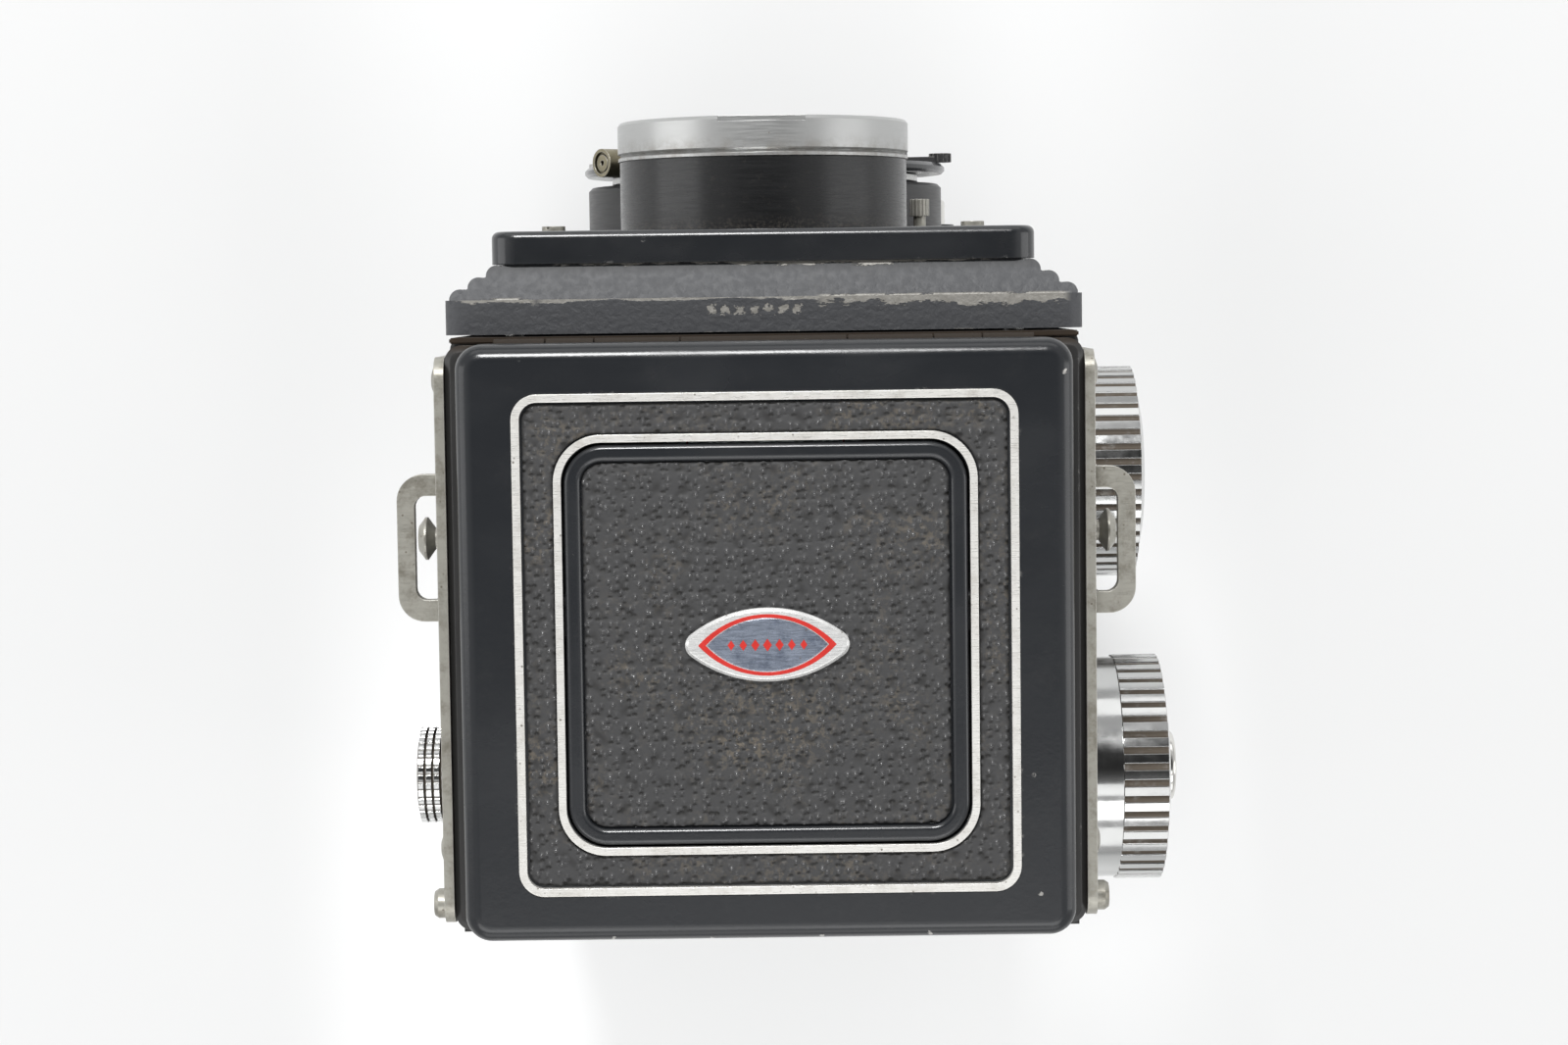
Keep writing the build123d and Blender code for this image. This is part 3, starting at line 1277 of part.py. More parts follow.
# ---- Back door -------------------------------------------------------------------------------------------
DOOR_HALF = 38.1
FLOOR_TOP = 3.1
BUSH_BOSS = 6.5
LATCH_Y = -16.5
LATCH_SHAFT = 2.0
PLATE_PIN = 2.0
PLATE_Z = 58.0
with BuildPart() as back_door:
    with BuildSketch(Plane.YZ.offset(-DOOR_HALF)):
        with BuildLine():
            FilletPolyline(
                (DOOR_EDGE, STAND),
                (DOOR_OUT, STAND),
                (DOOR_OUT, DOOR_TOP),
                radius=2.4,
            )
            Line((DOOR_OUT, DOOR_TOP), (DOOR_IN, DOOR_TOP))
            FilletPolyline(
                (DOOR_IN, DOOR_TOP),
                (DOOR_IN, FLOOR_TOP),
                (DOOR_EDGE, FLOOR_TOP),
                radius=0.5,
            )
            Line((DOOR_EDGE, FLOOR_TOP), (DOOR_EDGE, STAND))
        make_face()
    extrude(amount=2 * DOOR_HALF)
    # raised panel under the leather, with its groove for the pressure plate inside
    with BuildSketch(facing(DOOR_OUT)):
        with Locations((0, 65)):
            RectangleRounded(66, 112, 4)
    extrude(amount=-1.1)
    fillet(back_door.faces().sort_by(Axis.Y)[-1].edges(), 0.6)
    with BuildSketch(facing(DOOR_IN)):
        with Locations((0, PLATE_Z)):
            Circle(PLATE_PIN + PIN_GAP)
    extrude(amount=-2.2, mode=Mode.SUBTRACT)
    # openings in the floor for the tripod bush and the latch, and the two rear feet
    with BuildSketch(Plane.XY.offset(STAND)):
        with Locations((0, 0)):
            Circle(BUSH_BOSS)
        with Locations((0, LATCH_Y)):
            Circle(LATCH_SHAFT + PIN_GAP)
    extrude(amount=4, mode=Mode.SUBTRACT)
    with BuildSketch(Plane.XY):
        with Locations((-FEET_X, 27), (FEET_X, 27)):
            Circle(FOOT_R)
    extrude(amount=STAND)
    # hinge knuckles between those of the body
    for start, long in ((-11.9, 23.8), (24.1, 11.9), (-36.0, 11.9)):
        with BuildSketch(beside(start)):
            with Locations((DOOR_AXIS_Y, DOOR_AXIS_Z)):
                Circle(KNUCKLE_R)
            with Locations((DOOR_AXIS_Y, DOOR_AXIS_Z - 1.2)):
                Rectangle(1.4, 1.6)
            with Locations((DOOR_AXIS_Y, DOOR_AXIS_Z)):
                Circle(0.6 + PIN_GAP, mode=Mode.SUBTRACT)
        extrude(amount=long)
back_door.part.label = "back_door"
export_step(back_door.part, "parts/back_door.step")

with BuildPart() as door_leather:
    with BuildSketch(facing(DOOR_OUT + 1.1)):
        with Locations((0, 65)):
            RectangleRounded(62, 108, 3)
    extrude(amount=-0.5)
door_leather.part.label = "door_leather"
export_step(door_leather.part, "parts/door_leather.step")

SOCKET_R = 2.6
SOCKET_LONG = 5.0
with BuildPart() as tripod_bush:
    with BuildSketch(Plane.XY):
        Circle(8.5)
    extrude(amount=STAND)
    with BuildSketch(Plane.XY.offset(STAND)):
        Circle(BUSH_BOSS)
    extrude(amount=4.6)
    with BuildSketch(Plane.XY):
        Circle(SOCKET_R)
    extrude(amount=SOCKET_LONG, mode=Mode.SUBTRACT)
tripod_bush.part.label = "tripod_bush"
export_step(tripod_bush.part, "parts/tripod_bush.step")

with BuildPart() as latch_dial:
    with BuildSketch(Plane.XY.offset(0.3)):
        with Locations((0, LATCH_Y)):
            Circle(7.2)
            with PolarLocations(7.2, 40):
                Circle(0.3, mode=Mode.SUBTRACT)
    extrude(amount=0.8)
    with BuildSketch(Plane.XY.offset(1.1)):
        with Locations((0, LATCH_Y)):
            Circle(LATCH_SHAFT)
    extrude(amount=3.0)
    with BuildSketch(Plane.XY.offset(3.5)):
        with Locations((0, LATCH_Y - 2.2)):
            RectangleRounded(7, 10, 1)
    extrude(amount=0.8)
latch_dial.part.label = "latch_dial"
export_step(latch_dial.part, "parts/latch_dial.step")

with BuildPart() as pressure_plate:
    with BuildSketch(facing(33.6)):
        with Locations((0, PLATE_Z)):
            RectangleRounded(61.6, 54, 1)
    extrude(amount=1.2)
    with BuildSketch(facing(33.6)):
        with Locations((0, PLATE_Z)):
            Circle(PLATE_PIN)
    extrude(amount=-2.7)
pressure_plate.part.label = "pressure_plate"
export_step(pressure_plate.part, "parts/pressure_plate.step")
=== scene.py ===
"""Looks for the twin lens reflex camera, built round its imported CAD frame.

Metres, +Z up, the lenses look along -Y. Sizes below are in millimetres and are turned into metres by MM. Every
piece's mesh lies where it belongs with its object at the origin, so Object coordinates are the camera's own.
"""

from math import cos, sin

import bmesh
import bpy
import numpy as np
from mathutils import Matrix, Vector


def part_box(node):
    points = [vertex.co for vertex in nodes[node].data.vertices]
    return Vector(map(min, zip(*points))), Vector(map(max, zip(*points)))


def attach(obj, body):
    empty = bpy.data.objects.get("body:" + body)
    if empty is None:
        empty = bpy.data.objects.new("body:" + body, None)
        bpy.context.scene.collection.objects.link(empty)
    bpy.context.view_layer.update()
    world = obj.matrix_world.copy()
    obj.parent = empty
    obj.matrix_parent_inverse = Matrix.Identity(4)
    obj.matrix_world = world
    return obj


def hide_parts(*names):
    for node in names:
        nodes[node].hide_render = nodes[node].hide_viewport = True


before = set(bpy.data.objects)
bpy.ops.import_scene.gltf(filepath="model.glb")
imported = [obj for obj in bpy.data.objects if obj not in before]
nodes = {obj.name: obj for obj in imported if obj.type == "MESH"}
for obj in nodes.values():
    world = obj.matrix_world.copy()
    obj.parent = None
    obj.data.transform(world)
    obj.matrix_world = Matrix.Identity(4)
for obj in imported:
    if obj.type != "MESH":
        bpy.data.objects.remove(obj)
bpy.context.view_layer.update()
MM = 0.001


def box_mm(node):
    """A node's lowest and highest corners, in millimetres."""
    low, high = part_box(node)
    return Vector(low) / MM, Vector(high) / MM


# ---- Material building -----------------------------------------------------------------------------------
class Look:
    """One material's node tree, built from short calls. Lengths are in millimetres."""

    def __init__(self, name):
        self.material = bpy.data.materials.new(name)
        self.material.use_nodes = True
        self.tree = self.material.node_tree
        self.bsdf = self.tree.nodes["Principled BSDF"]
        self.place = self.node("ShaderNodeTexCoord").outputs["Object"]

    def node(self, kind, **settings):
        made = self.tree.nodes.new(kind)
        for key, value in settings.items():
            setattr(made, key, value)
        return made

    def feed(self, socket, value):
        """Links value to socket if it is a socket, or stores it there."""
        if isinstance(value, bpy.types.NodeSocket):
            self.tree.links.new(value, socket)
        elif isinstance(value, (tuple, list)) and len(value) == 3 and socket.type == "RGBA":
            socket.default_value = (*value, 1.0)
        else:
            socket.default_value = value

    def math(self, operation, *values, clamp=False):
        made = self.node("ShaderNodeMath", operation=operation, use_clamp=clamp)
        for socket, value in zip(made.inputs, values):
            self.feed(socket, value)
        return made.outputs[0]

    def axis(self, index):
        """X, Y or Z of the surface point, in millimetres."""
        parts = self.node("ShaderNodeSeparateXYZ")
        self.feed(parts.inputs[0], self.place)
        return self.math("MULTIPLY", parts.outputs[index], 1000.0)

    def scaled(self, scale):
        """The surface point scaled per millimetre. scale is a number or one for each axis."""
        each = scale if isinstance(scale, tuple) else (scale,) * 3
        mapping = self.node("ShaderNodeMapping")
        self.feed(mapping.inputs["Vector"], self.place)
        mapping.inputs["Scale"].default_value = [1000.0 * s for s in each]
        return mapping.outputs[0]

    def noise(self, scale, detail=3.0, roughness=0.55, distortion=0.0):
        made = self.node("ShaderNodeTexNoise")
        self.feed(made.inputs["Vector"], self.scaled(scale))
        made.inputs["Scale"].default_value = 1.0
        made.inputs["Detail"].default_value = detail
        made.inputs["Roughness"].default_value = roughness
        made.inputs["Distortion"].default_value = distortion
        return made.outputs["Fac"]

    def cells(self, scale, feature="F1", randomness=1.0):
        made = self.node("ShaderNodeTexVoronoi", feature=feature)
        self.feed(made.inputs["Vector"], self.scaled(scale))
        made.inputs["Scale"].default_value = 1.0
        made.inputs["Randomness"].default_value = randomness
        return made.outputs["Distance"]

    def ramp(self, value, low, high, to_low=0.0, to_high=1.0):
        """value's place between low and high, smoothed, as a number from to_low to to_high."""
        made = self.node("ShaderNodeMapRange", interpolation_type="SMOOTHSTEP")
        for socket, number in zip(made.inputs, (value, low, high, to_low, to_high)):
            self.feed(socket, number)
        return made.outputs[0]

    def mix(self, share, first, second):
        made = self.node("ShaderNodeMix", data_type="RGBA")
        self.feed(made.inputs[0], share)
        self.feed(made.inputs[6], first)
        self.feed(made.inputs[7], second)
        return made.outputs[2]

    def blend(self, share, first, second):
        """A number between first and second."""
        made = self.node("ShaderNodeMix", data_type="FLOAT")
        self.feed(made.inputs[0], share)
        self.feed(made.inputs[2], first)
        self.feed(made.inputs[3], second)
        return made.outputs[0]

    def bump(self, height, depth, normal=None):
        """Relief of the given depth where height runs from 0 to 1."""
        made = self.node("ShaderNodeBump")
        made.inputs["Strength"].default_value = 1.0
        made.inputs["Distance"].default_value = depth * MM
        self.feed(made.inputs["Height"], height)
        if normal is not None:
            self.feed(made.inputs["Normal"], normal)
        return made.outputs[0]

    def edges(self, radius, low=0.02, high=0.25):
        """1 on outer and inner edges within radius, 0 on open faces."""
        made = self.node("ShaderNodeBevel", samples=6)
        made.inputs["Radius"].default_value = radius * MM
        face = self.node("ShaderNodeNewGeometry")
        dot = self.node("ShaderNodeVectorMath", operation="DOT_PRODUCT")
        self.feed(dot.inputs[0], made.outputs[0])
        self.feed(dot.inputs[1], face.outputs["Normal"])
        return self.ramp(self.math("SUBTRACT", 1.0, dot.outputs["Value"]), low, high)

    def soft_edges(self, radius):
        """A normal that rounds the edges by radius."""
        made = self.node("ShaderNodeBevel", samples=6)
        made.inputs["Radius"].default_value = radius * MM
        return made.outputs[0]

    def radius_from(self, first, second, a, b):
        """Distance in the plane of two axes from the point (a, b), in millimetres."""
        across = self.math("POWER", self.math("SUBTRACT", self.axis(first), a), 2.0)
        along = self.math("POWER", self.math("SUBTRACT", self.axis(second), b), 2.0)
        return self.math("SQRT", self.math("ADD", across, along))

    def set(self, **values):
        """Feeds the shader's sockets. Names have underscores for spaces."""
        for key, value in values.items():
            self.feed(self.bsdf.inputs[key.replace("_", " ")], value)
        return self.material


BARE_METAL = (0.42, 0.41, 0.39)
DIRT = (0.075, 0.055, 0.035)
DUST = (0.16, 0.14, 0.115)


def enamel(name, tint=(0.013, 0.0145, 0.017), chips=0.5, gloss=0.2, grime_and_shade=None, spots=()):
    """Glossy black stove enamel: smears, hair scratches, small chips. grime is a corner darkened by dirt and
    painted shade:
    (Y, Z, width). spots are single chips: (X, Y, size)."""
    look = Look(name)
    smear = look.noise((0.05, 0.09, 0.05), 4.0)
    fine = look.noise(1.6, 4.0, 0.7)
    edge = look.edges(0.9, 0.03, 0.3)
    pick = look.noise(0.42, 5.0, 0.75)
    near = look.math("MULTIPLY", edge, look.ramp(pick, 0.60, 0.66))
    speck = look.math("MULTIPLY", look.ramp(look.cells(0.16), 0.055, 0.035), look.ramp(pick, 0.5, 0.56))
    bare = look.math("MULTIPLY", look.math("MAXIMUM", near, speck), chips, clamp=True)
    for across, along, size in spots:
        away = look.math("ADD", look.radius_from(0, 1, across, along), look.ramp(fine, 0.3, 0.7, -0.15, 0.2))
        bare = look.math("MAXIMUM", bare, look.ramp(away, size, size - 0.08))
    dust = look.math("MULTIPLY", look.ramp(look.noise(0.13, 6.0, 0.75), 0.5, 0.85), 0.25)
    paint = look.mix(dust, tint, (0.045, 0.044, 0.043))
    caked_and_shaded = 0.0
    # Dirt and painted shade: the corner in front of and below the given place is darkened and browned
    if grime_and_shade:
        ahead = look.ramp(look.axis(1), grime_and_shade[0] + grime_and_shade[2], grime_and_shade[0] - grime_and_shade[2])
        under = look.ramp(look.axis(2), grime_and_shade[1] + grime_and_shade[2], grime_and_shade[1] - grime_and_shade[2])
        caked_and_shaded = look.math("MULTIPLY", ahead, under)
        paint = look.mix(caked_and_shaded, paint, look.mix(fine, (0.012, 0.008, 0.005), (0.030, 0.020, 0.012)))
    scratch = look.ramp(look.noise((0.35, 6.0, 6.0), 2.0), 0.74, 0.8)
    rough = look.math("ADD", gloss, look.ramp(smear, 0.35, 0.8, 0.0, 0.14))
    rough = look.math("ADD", rough, look.math("MULTIPLY", scratch, 0.1))
    look.set(
        Base_Color=look.mix(bare, paint, BARE_METAL),
        Metallic=bare,
        Roughness=look.blend(bare, look.blend(caked_and_shaded, rough, 0.85), 0.38),
        Specular_IOR_Level=0.5,
        Normal=look.bump(look.math("SUBTRACT", fine, bare), 0.012, look.soft_edges(0.25)),
    )
    look.bsdf.inputs["Coat Weight"].default_value = 0.0 if grime_and_shade else 0.25
    look.bsdf.inputs["Coat Roughness"].default_value = 0.08
    return look.material


def cast_paint(name, ridge, wear_lines=(), tint=(0.048, 0.050, 0.055), marks=None):
    """Rough black paint on a casting, darker towards the slope's top and lumpier behind its foot. ridge is the Y of
    that top and foot. wear_lines are bare edges along X: (Y, Z, width, from X, to X). marks is a row of small worn
    marks: (Y, Z, size, pitch, from X, to X)."""
    look = Look(name)
    grain = look.noise(1.1, 4.0, 0.55, 0.3)
    coarse = look.noise(0.22, 3.0, 0.5)
    ragged = look.noise((0.16, 0.5, 0.5), 6.0, 0.72)
    bare = look.math("MULTIPLY", look.edges(0.35, 0.05, 0.3), look.ramp(ragged, 0.56, 0.62))
    x, depth = look.axis(0), look.axis(1)
    for y, z, width, start, stop in wear_lines:
        away = look.radius_from(1, 2, y, z)
        behind = look.ramp(depth, y - 0.35, y - 0.05)
        reach = look.math("MULTIPLY", look.ramp(ragged, 0.36, 0.72), width)
        inside = look.ramp(look.math("SUBTRACT", away, reach), 0.08, -0.08)
        span = look.math("MULTIPLY", look.ramp(x, start, start + 1.5), look.ramp(x, stop, stop - 1.5))
        span = look.math("MULTIPLY", span, behind)
        bare = look.math("MAXIMUM", bare, look.math("MULTIPLY", inside, span))
    if marks:
        y, z, size, pitch, start, stop = marks
        beside = look.math("PINGPONG", look.math("SUBTRACT", x, start), pitch / 2)
        away = look.math("MAXIMUM", look.math("SUBTRACT", pitch / 2, beside), look.radius_from(1, 2, y, z))
        away = look.math("ADD", away, look.ramp(look.noise(1.8, 4.0, 0.7), 0.3, 0.7, -0.3, 0.4))
        among = look.math("MULTIPLY", look.math("GREATER_THAN", x, start), look.math("LESS_THAN", x, stop))
        mark = look.math("MULTIPLY", look.ramp(away, size, size - 0.12), among)
        bare = look.math("MAXIMUM", bare, mark)
    lumps = look.math("ADD", look.math("MULTIPLY", grain, 0.8), look.math("MULTIPLY", coarse, 0.2))
    lumps = look.math("MULTIPLY", lumps, look.ramp(depth, ridge[0] + 1.2, ridge[1] - 0.4, 0.7, 2.0))
    upper = look.math("MULTIPLY", look.ramp(depth, ridge[0] + 1.8, ridge[0] + 0.2), 0.8)
    tint = look.mix(upper, tint, (0.012, 0.013, 0.015))
    dusty = look.math("MULTIPLY", look.ramp(look.noise(0.35, 5.0, 0.7), 0.5, 0.8), 0.12)
    metal = look.mix(look.noise(1.2, 4.0, 0.7), (0.17, 0.16, 0.14), (0.38, 0.37, 0.345))
    look.set(
        Base_Color=look.mix(bare, look.mix(dusty, tint, (0.06, 0.055, 0.05)), metal),
        Metallic=look.math("MULTIPLY", bare, 0.3),
        Roughness=look.blend(bare, look.blend(upper, look.ramp(grain, 0.3, 0.7, 0.48, 0.56), 0.5), 0.5),
        Normal=look.bump(look.math("SUBTRACT", lumps, look.math("MULTIPLY", bare, 0.5)), 0.075),
    )
    return look.material


def leatherette(name, tint=(0.034, 0.034, 0.035), relief=None, handled=None):
    """Pebbled black leatherette. relief names a mesh attribute: 1 on the grains, 0 in the pits between. handled is
    the (X, Y) of a place with brown dust in the grain."""
    look = Look(name)
    if relief:
        attribute = look.node("ShaderNodeAttribute", attribute_name=relief)
        height = attribute.outputs["Fac"]
        normal = look.bump(look.noise(4.0, 4.0, 0.65), 0.016)
    else:
        height = look.ramp(look.cells(1.1), 0.62, 0.08, 0.34, 0.74)
        normal = look.bump(height, 0.22, look.bump(look.noise(4.0, 4.0, 0.65), 0.035))
    worn = look.ramp(look.noise(0.09, 4.0, 0.6), 0.42, 0.75)
    if handled:
        round_it = look.ramp(look.radius_from(0, 1, *handled), 11.0, 2.0, 0.0, 0.8)
        worn = look.math("ADD", worn, round_it)
    mid = look.math("MULTIPLY", look.ramp(height, 0.75, 0.45), look.ramp(look.noise(1.3, 5.0, 0.7), 0.48, 0.60))
    soil = look.math("MULTIPLY", look.math("MULTIPLY", mid, worn), 0.8, clamp=True)
    # Painted shade: the pits are coloured near black. Painted highlight: the grain tops are coloured a lighter grey
    pit = look.ramp(height, 0.40, 0.20)
    crown_highlight = look.math("MULTIPLY", look.ramp(height, 0.60, 0.95), 0.6)
    skin = look.mix(soil, tint, (0.105, 0.088, 0.066))
    look.set(
        Base_Color=look.mix(crown_highlight, look.mix(pit, skin, (0.004, 0.0035, 0.003)), (0.085, 0.084, 0.085)),
        Roughness=look.blend(look.ramp(height, 0.5, 0.9), 0.6, 0.14),
        Normal=normal,
    )
    return look.material


def chrome(name, tint=(0.74, 0.73, 0.70), rough=0.13, centre=None, clean_from=0.0, grooved=(0.0, 0.0)):
    """Polished plating. A knob with its middle at centre (Y, Z) is dirty inside the radius clean_from, between the
    distances from the middle plane in grooved."""
    look = Look(name)
    smear = look.noise(0.25, 5.0, 0.65)
    pit = look.ramp(look.cells(1.1), 0.10, 0.05)
    pit = look.math("MULTIPLY", pit, look.ramp(look.noise(0.3), 0.6, 0.7))
    soil = look.math("MULTIPLY", pit, 0.6)
    if centre:
        away = look.radius_from(1, 2, *centre)
        groove = look.ramp(away, clean_from, clean_from - 0.1)
        out = look.math("ABSOLUTE", look.axis(0))
        among = look.math("GREATER_THAN", out, grooved[0])
        among = look.math("MULTIPLY", among, look.math("LESS_THAN", out, grooved[1]))
        patchy = look.ramp(look.noise(0.5, 4.0, 0.7), 0.2, 0.5, 0.7, 1.0)
        groove = look.math("MULTIPLY", look.math("MULTIPLY", groove, among), patchy)
        soil = look.math("MAXIMUM", soil, look.math("MULTIPLY", groove, 0.95))
    look.set(
        Base_Color=look.mix(soil, tint, DIRT),
        Metallic=look.blend(soil, 1.0, 0.2),
        Roughness=look.blend(soil, look.ramp(smear, 0.3, 0.8, rough * 0.7, rough * 1.7), 0.7),
        Normal=look.bump(look.noise(2.0, 3.0), 0.004, look.soft_edges(0.12)),
    )
    return look.material


def worn_metal(name, tint, dark, rough=0.36, brush=(0.5, 6.0, 6.0), metal=1.0):
    """Dull plated steel: brushed one way, with dark specks, stains and brighter rubbed edges."""
    look = Look(name)
    hair = look.noise(brush, 3.0, 0.7)
    stain = look.ramp(look.noise(0.35, 6.0, 0.75), 0.42, 0.72)
    speck = look.math("MULTIPLY", look.ramp(look.cells(0.9), 0.16, 0.08), look.ramp(look.noise(0.5), 0.45, 0.6))
    edge = look.math("MULTIPLY", look.edges(0.3, 0.04, 0.3), 0.55)
    body = look.mix(look.math("MULTIPLY", stain, 0.7), tint, dark)
    body = look.mix(look.math("MULTIPLY", speck, 0.8), body, DIRT)
    look.set(
        Base_Color=look.mix(edge, body, (0.72, 0.71, 0.67)),
        Metallic=look.blend(speck, metal, 0.3),
        Roughness=look.math("ADD", rough, look.ramp(hair, 0.3, 0.7, -0.06, 0.12)),
        Normal=look.bump(hair, 0.012, look.soft_edges(0.15)),
    )
    return look.material


def satin_ring(name, rear):
    """Satin aluminium lens ring, brown with handling near its rear edge at Y = rear."""
    look = Look(name)
    hair = look.noise((0.3, 5.0, 0.3), 3.0, 0.6)
    close = look.ramp(look.axis(1), rear - 3.2, rear - 0.4)
    stain = look.math("MULTIPLY", close, look.ramp(look.noise(0.4, 6.0, 0.75), 0.38, 0.66))
    speck = look.math("MULTIPLY", look.ramp(look.cells(0.6), 0.09, 0.05), look.ramp(look.noise(0.4), 0.5, 0.6))
    soil = look.math("MAXIMUM", look.math("MULTIPLY", stain, 0.45), look.math("MULTIPLY", speck, 0.7))
    look.set(
        Base_Color=look.mix(soil, (0.46, 0.465, 0.46), (0.12, 0.09, 0.055)),
        Metallic=look.blend(soil, 0.85, 0.35),
        Roughness=look.ramp(hair, 0.3, 0.7, 0.30, 0.38),
        Normal=look.bump(look.noise(3.0, 4.0, 0.7), 0.008, look.soft_edges(0.1)),
    )
    return look.material


def satin_black(name, tint=(0.022, 0.022, 0.023), rough=0.4, dusty_to=None):
    """Satin black anodising or paint. dusty_to is the Y of a corner where dust gathers."""
    look = Look(name)
    fine = look.noise((0.25, 3.0, 0.25), 4.0, 0.65)
    dust = look.math("MULTIPLY", look.ramp(look.noise(0.9, 6.0, 0.8), 0.55, 0.8), 0.2)
    if dusty_to is not None:
        close = look.ramp(look.axis(1), dusty_to - 2.4, dusty_to)
        grit = look.ramp(look.noise(2.2, 6.0, 0.8), 0.46, 0.64)
        dust = look.math("ADD", dust, look.math("MULTIPLY", close, look.math("MULTIPLY", grit, 0.3)), clamp=True)
    rub = look.math("MULTIPLY", look.edges(0.3, 0.05, 0.3), look.ramp(look.noise(0.6, 5.0, 0.7), 0.45, 0.6))
    look.set(
        Base_Color=look.mix(look.math("MULTIPLY", rub, 0.6), look.mix(dust, tint, DUST), BARE_METAL),
        Metallic=look.math("MULTIPLY", rub, 0.6),
        Roughness=look.math("ADD", rough, look.ramp(fine, 0.3, 0.7, -0.03, 0.05)),
        Normal=look.bump(fine, 0.002, look.soft_edges(0.2)),
    )
    return look.material


def lens_glass(name, film):
    """Coated optical glass. film is the coating's thickness in nanometres, which sets its colour."""
    look = Look(name)
    look.set(
        Base_Color=(0.93, 0.95, 1.0),
        Roughness=0.0,
        IOR=1.6,
        Transmission_Weight=1.0,
        Thin_Film_Thickness=film,
        Thin_Film_IOR=1.38,
    )
    return look.material


def ground_glass(name, pitch):
    """Ground glass with a red composing grid, its lines pitch apart."""
    look = Look(name)
    lines = 0.0
    for index, middle in ((0, 0.0), (1, -1.0)):
        shifted = look.math("ADD", look.math("SUBTRACT", look.axis(index), middle), pitch / 2)
        apart = look.math("PINGPONG", shifted, pitch / 2)
        lines = look.math("MAXIMUM", lines, look.ramp(apart, 0.14, 0.08))
    look.set(
        Base_Color=look.mix(lines, (0.62, 0.66, 0.62), (0.45, 0.03, 0.02)),
        Roughness=0.42,
        Transmission_Weight=0.55,
        Normal=look.bump(look.noise(7.0, 3.0), 0.02),
    )
    return look.material


def enamel_red(name):
    look = Look(name)
    shade = look.noise(0.8, 4.0)
    look.set(Base_Color=look.mix(shade, (0.42, 0.018, 0.014), (0.62, 0.04, 0.03)), Roughness=0.2)
    look.bsdf.inputs["Coat Weight"].default_value = 0.6
    return look.material


def plain(name, tint, rough, metallic=0.0):
    """A quiet material: slight mottling in colour and sheen."""
    look = Look(name)
    mottle = look.noise(0.4, 5.0, 0.7)
    other = tuple(min(1.0, channel * 1.5 + 0.004) for channel in tint)
    look.set(
        Base_Color=look.mix(mottle, tint, other),
        Roughness=look.ramp(mottle, 0.3, 0.7, rough - 0.06, rough + 0.08),
        Metallic=metallic,
        Normal=look.bump(look.noise(2.5, 4.0), 0.01),
    )
    return look.material


# ---- Materials of the CAD nodes --------------------------------------------------------------------------
# The lens standard's slope runs from its top, at the front plate, back to its foot on the flange
SLOPE_DEPTH = 4.3
standard_top = box_mm("standard_casting")[1].z
slope_top = box_mm("front_plate")[1].y
slope_foot = slope_top + SLOPE_DEPTH
# Bare edges of the lens standard, as (Y, Z, width, from X, to X)
WEAR = (
    (slope_foot, standard_top, 2.0, -37.5, -6.0),
    (slope_foot, standard_top, 1.2, 27.0, 38.5),
    (slope_foot, standard_top, 0.6, -8.0, 28.0),
    (slope_top, standard_top - 2.2, 0.9, -28.0, 26.0),
)
# A row of shapeless worn marks on the flange, as (Y, Z, size, pitch, from X, to X)
MARKS = (slope_foot + 1.5, standard_top, 0.55, 1.75, -5.0, 7.25)
# Dirt and painted shade darken the hood's front foot: in front of this Y and below this Z, over about this width
HINGE_CORNER = (-34.6, 141.0, 0.5)
# Chips near the lid's edges, most of them at the rear, as (X, Y, size)
CHIPS = (
    (31.5, 38.2, 0.55),
    (18.6, 34.9, 0.28),
    (7.0, 35.2, 0.34),
    (-6.0, 34.9, 0.28),
    (-18.8, 34.6, 0.30),
    (-31.8, 30.0, 0.25),
    (-35.0, -31.5, 0.35),
    (37.2, 12.0, 0.22),
)


# The grooved rims of the knobs, as distances from the middle plane
GROOVED = {
    "focus_knob": (41.4, 52.1),
    "advance_knob": (45.4, 51.2),
    "spool_knob_upper": (42.0, 60.0),
    "spool_knob_lower": (42.0, 60.0),
}


def knob_look(name, node, tint=(0.52, 0.525, 0.52)):
    low, high = box_mm(node)
    middle = (low + high) / 2
    return chrome(name, tint, 0.13, (middle.y, middle.z), (high.z - low.z) / 2 - 0.12, GROOVED[node])


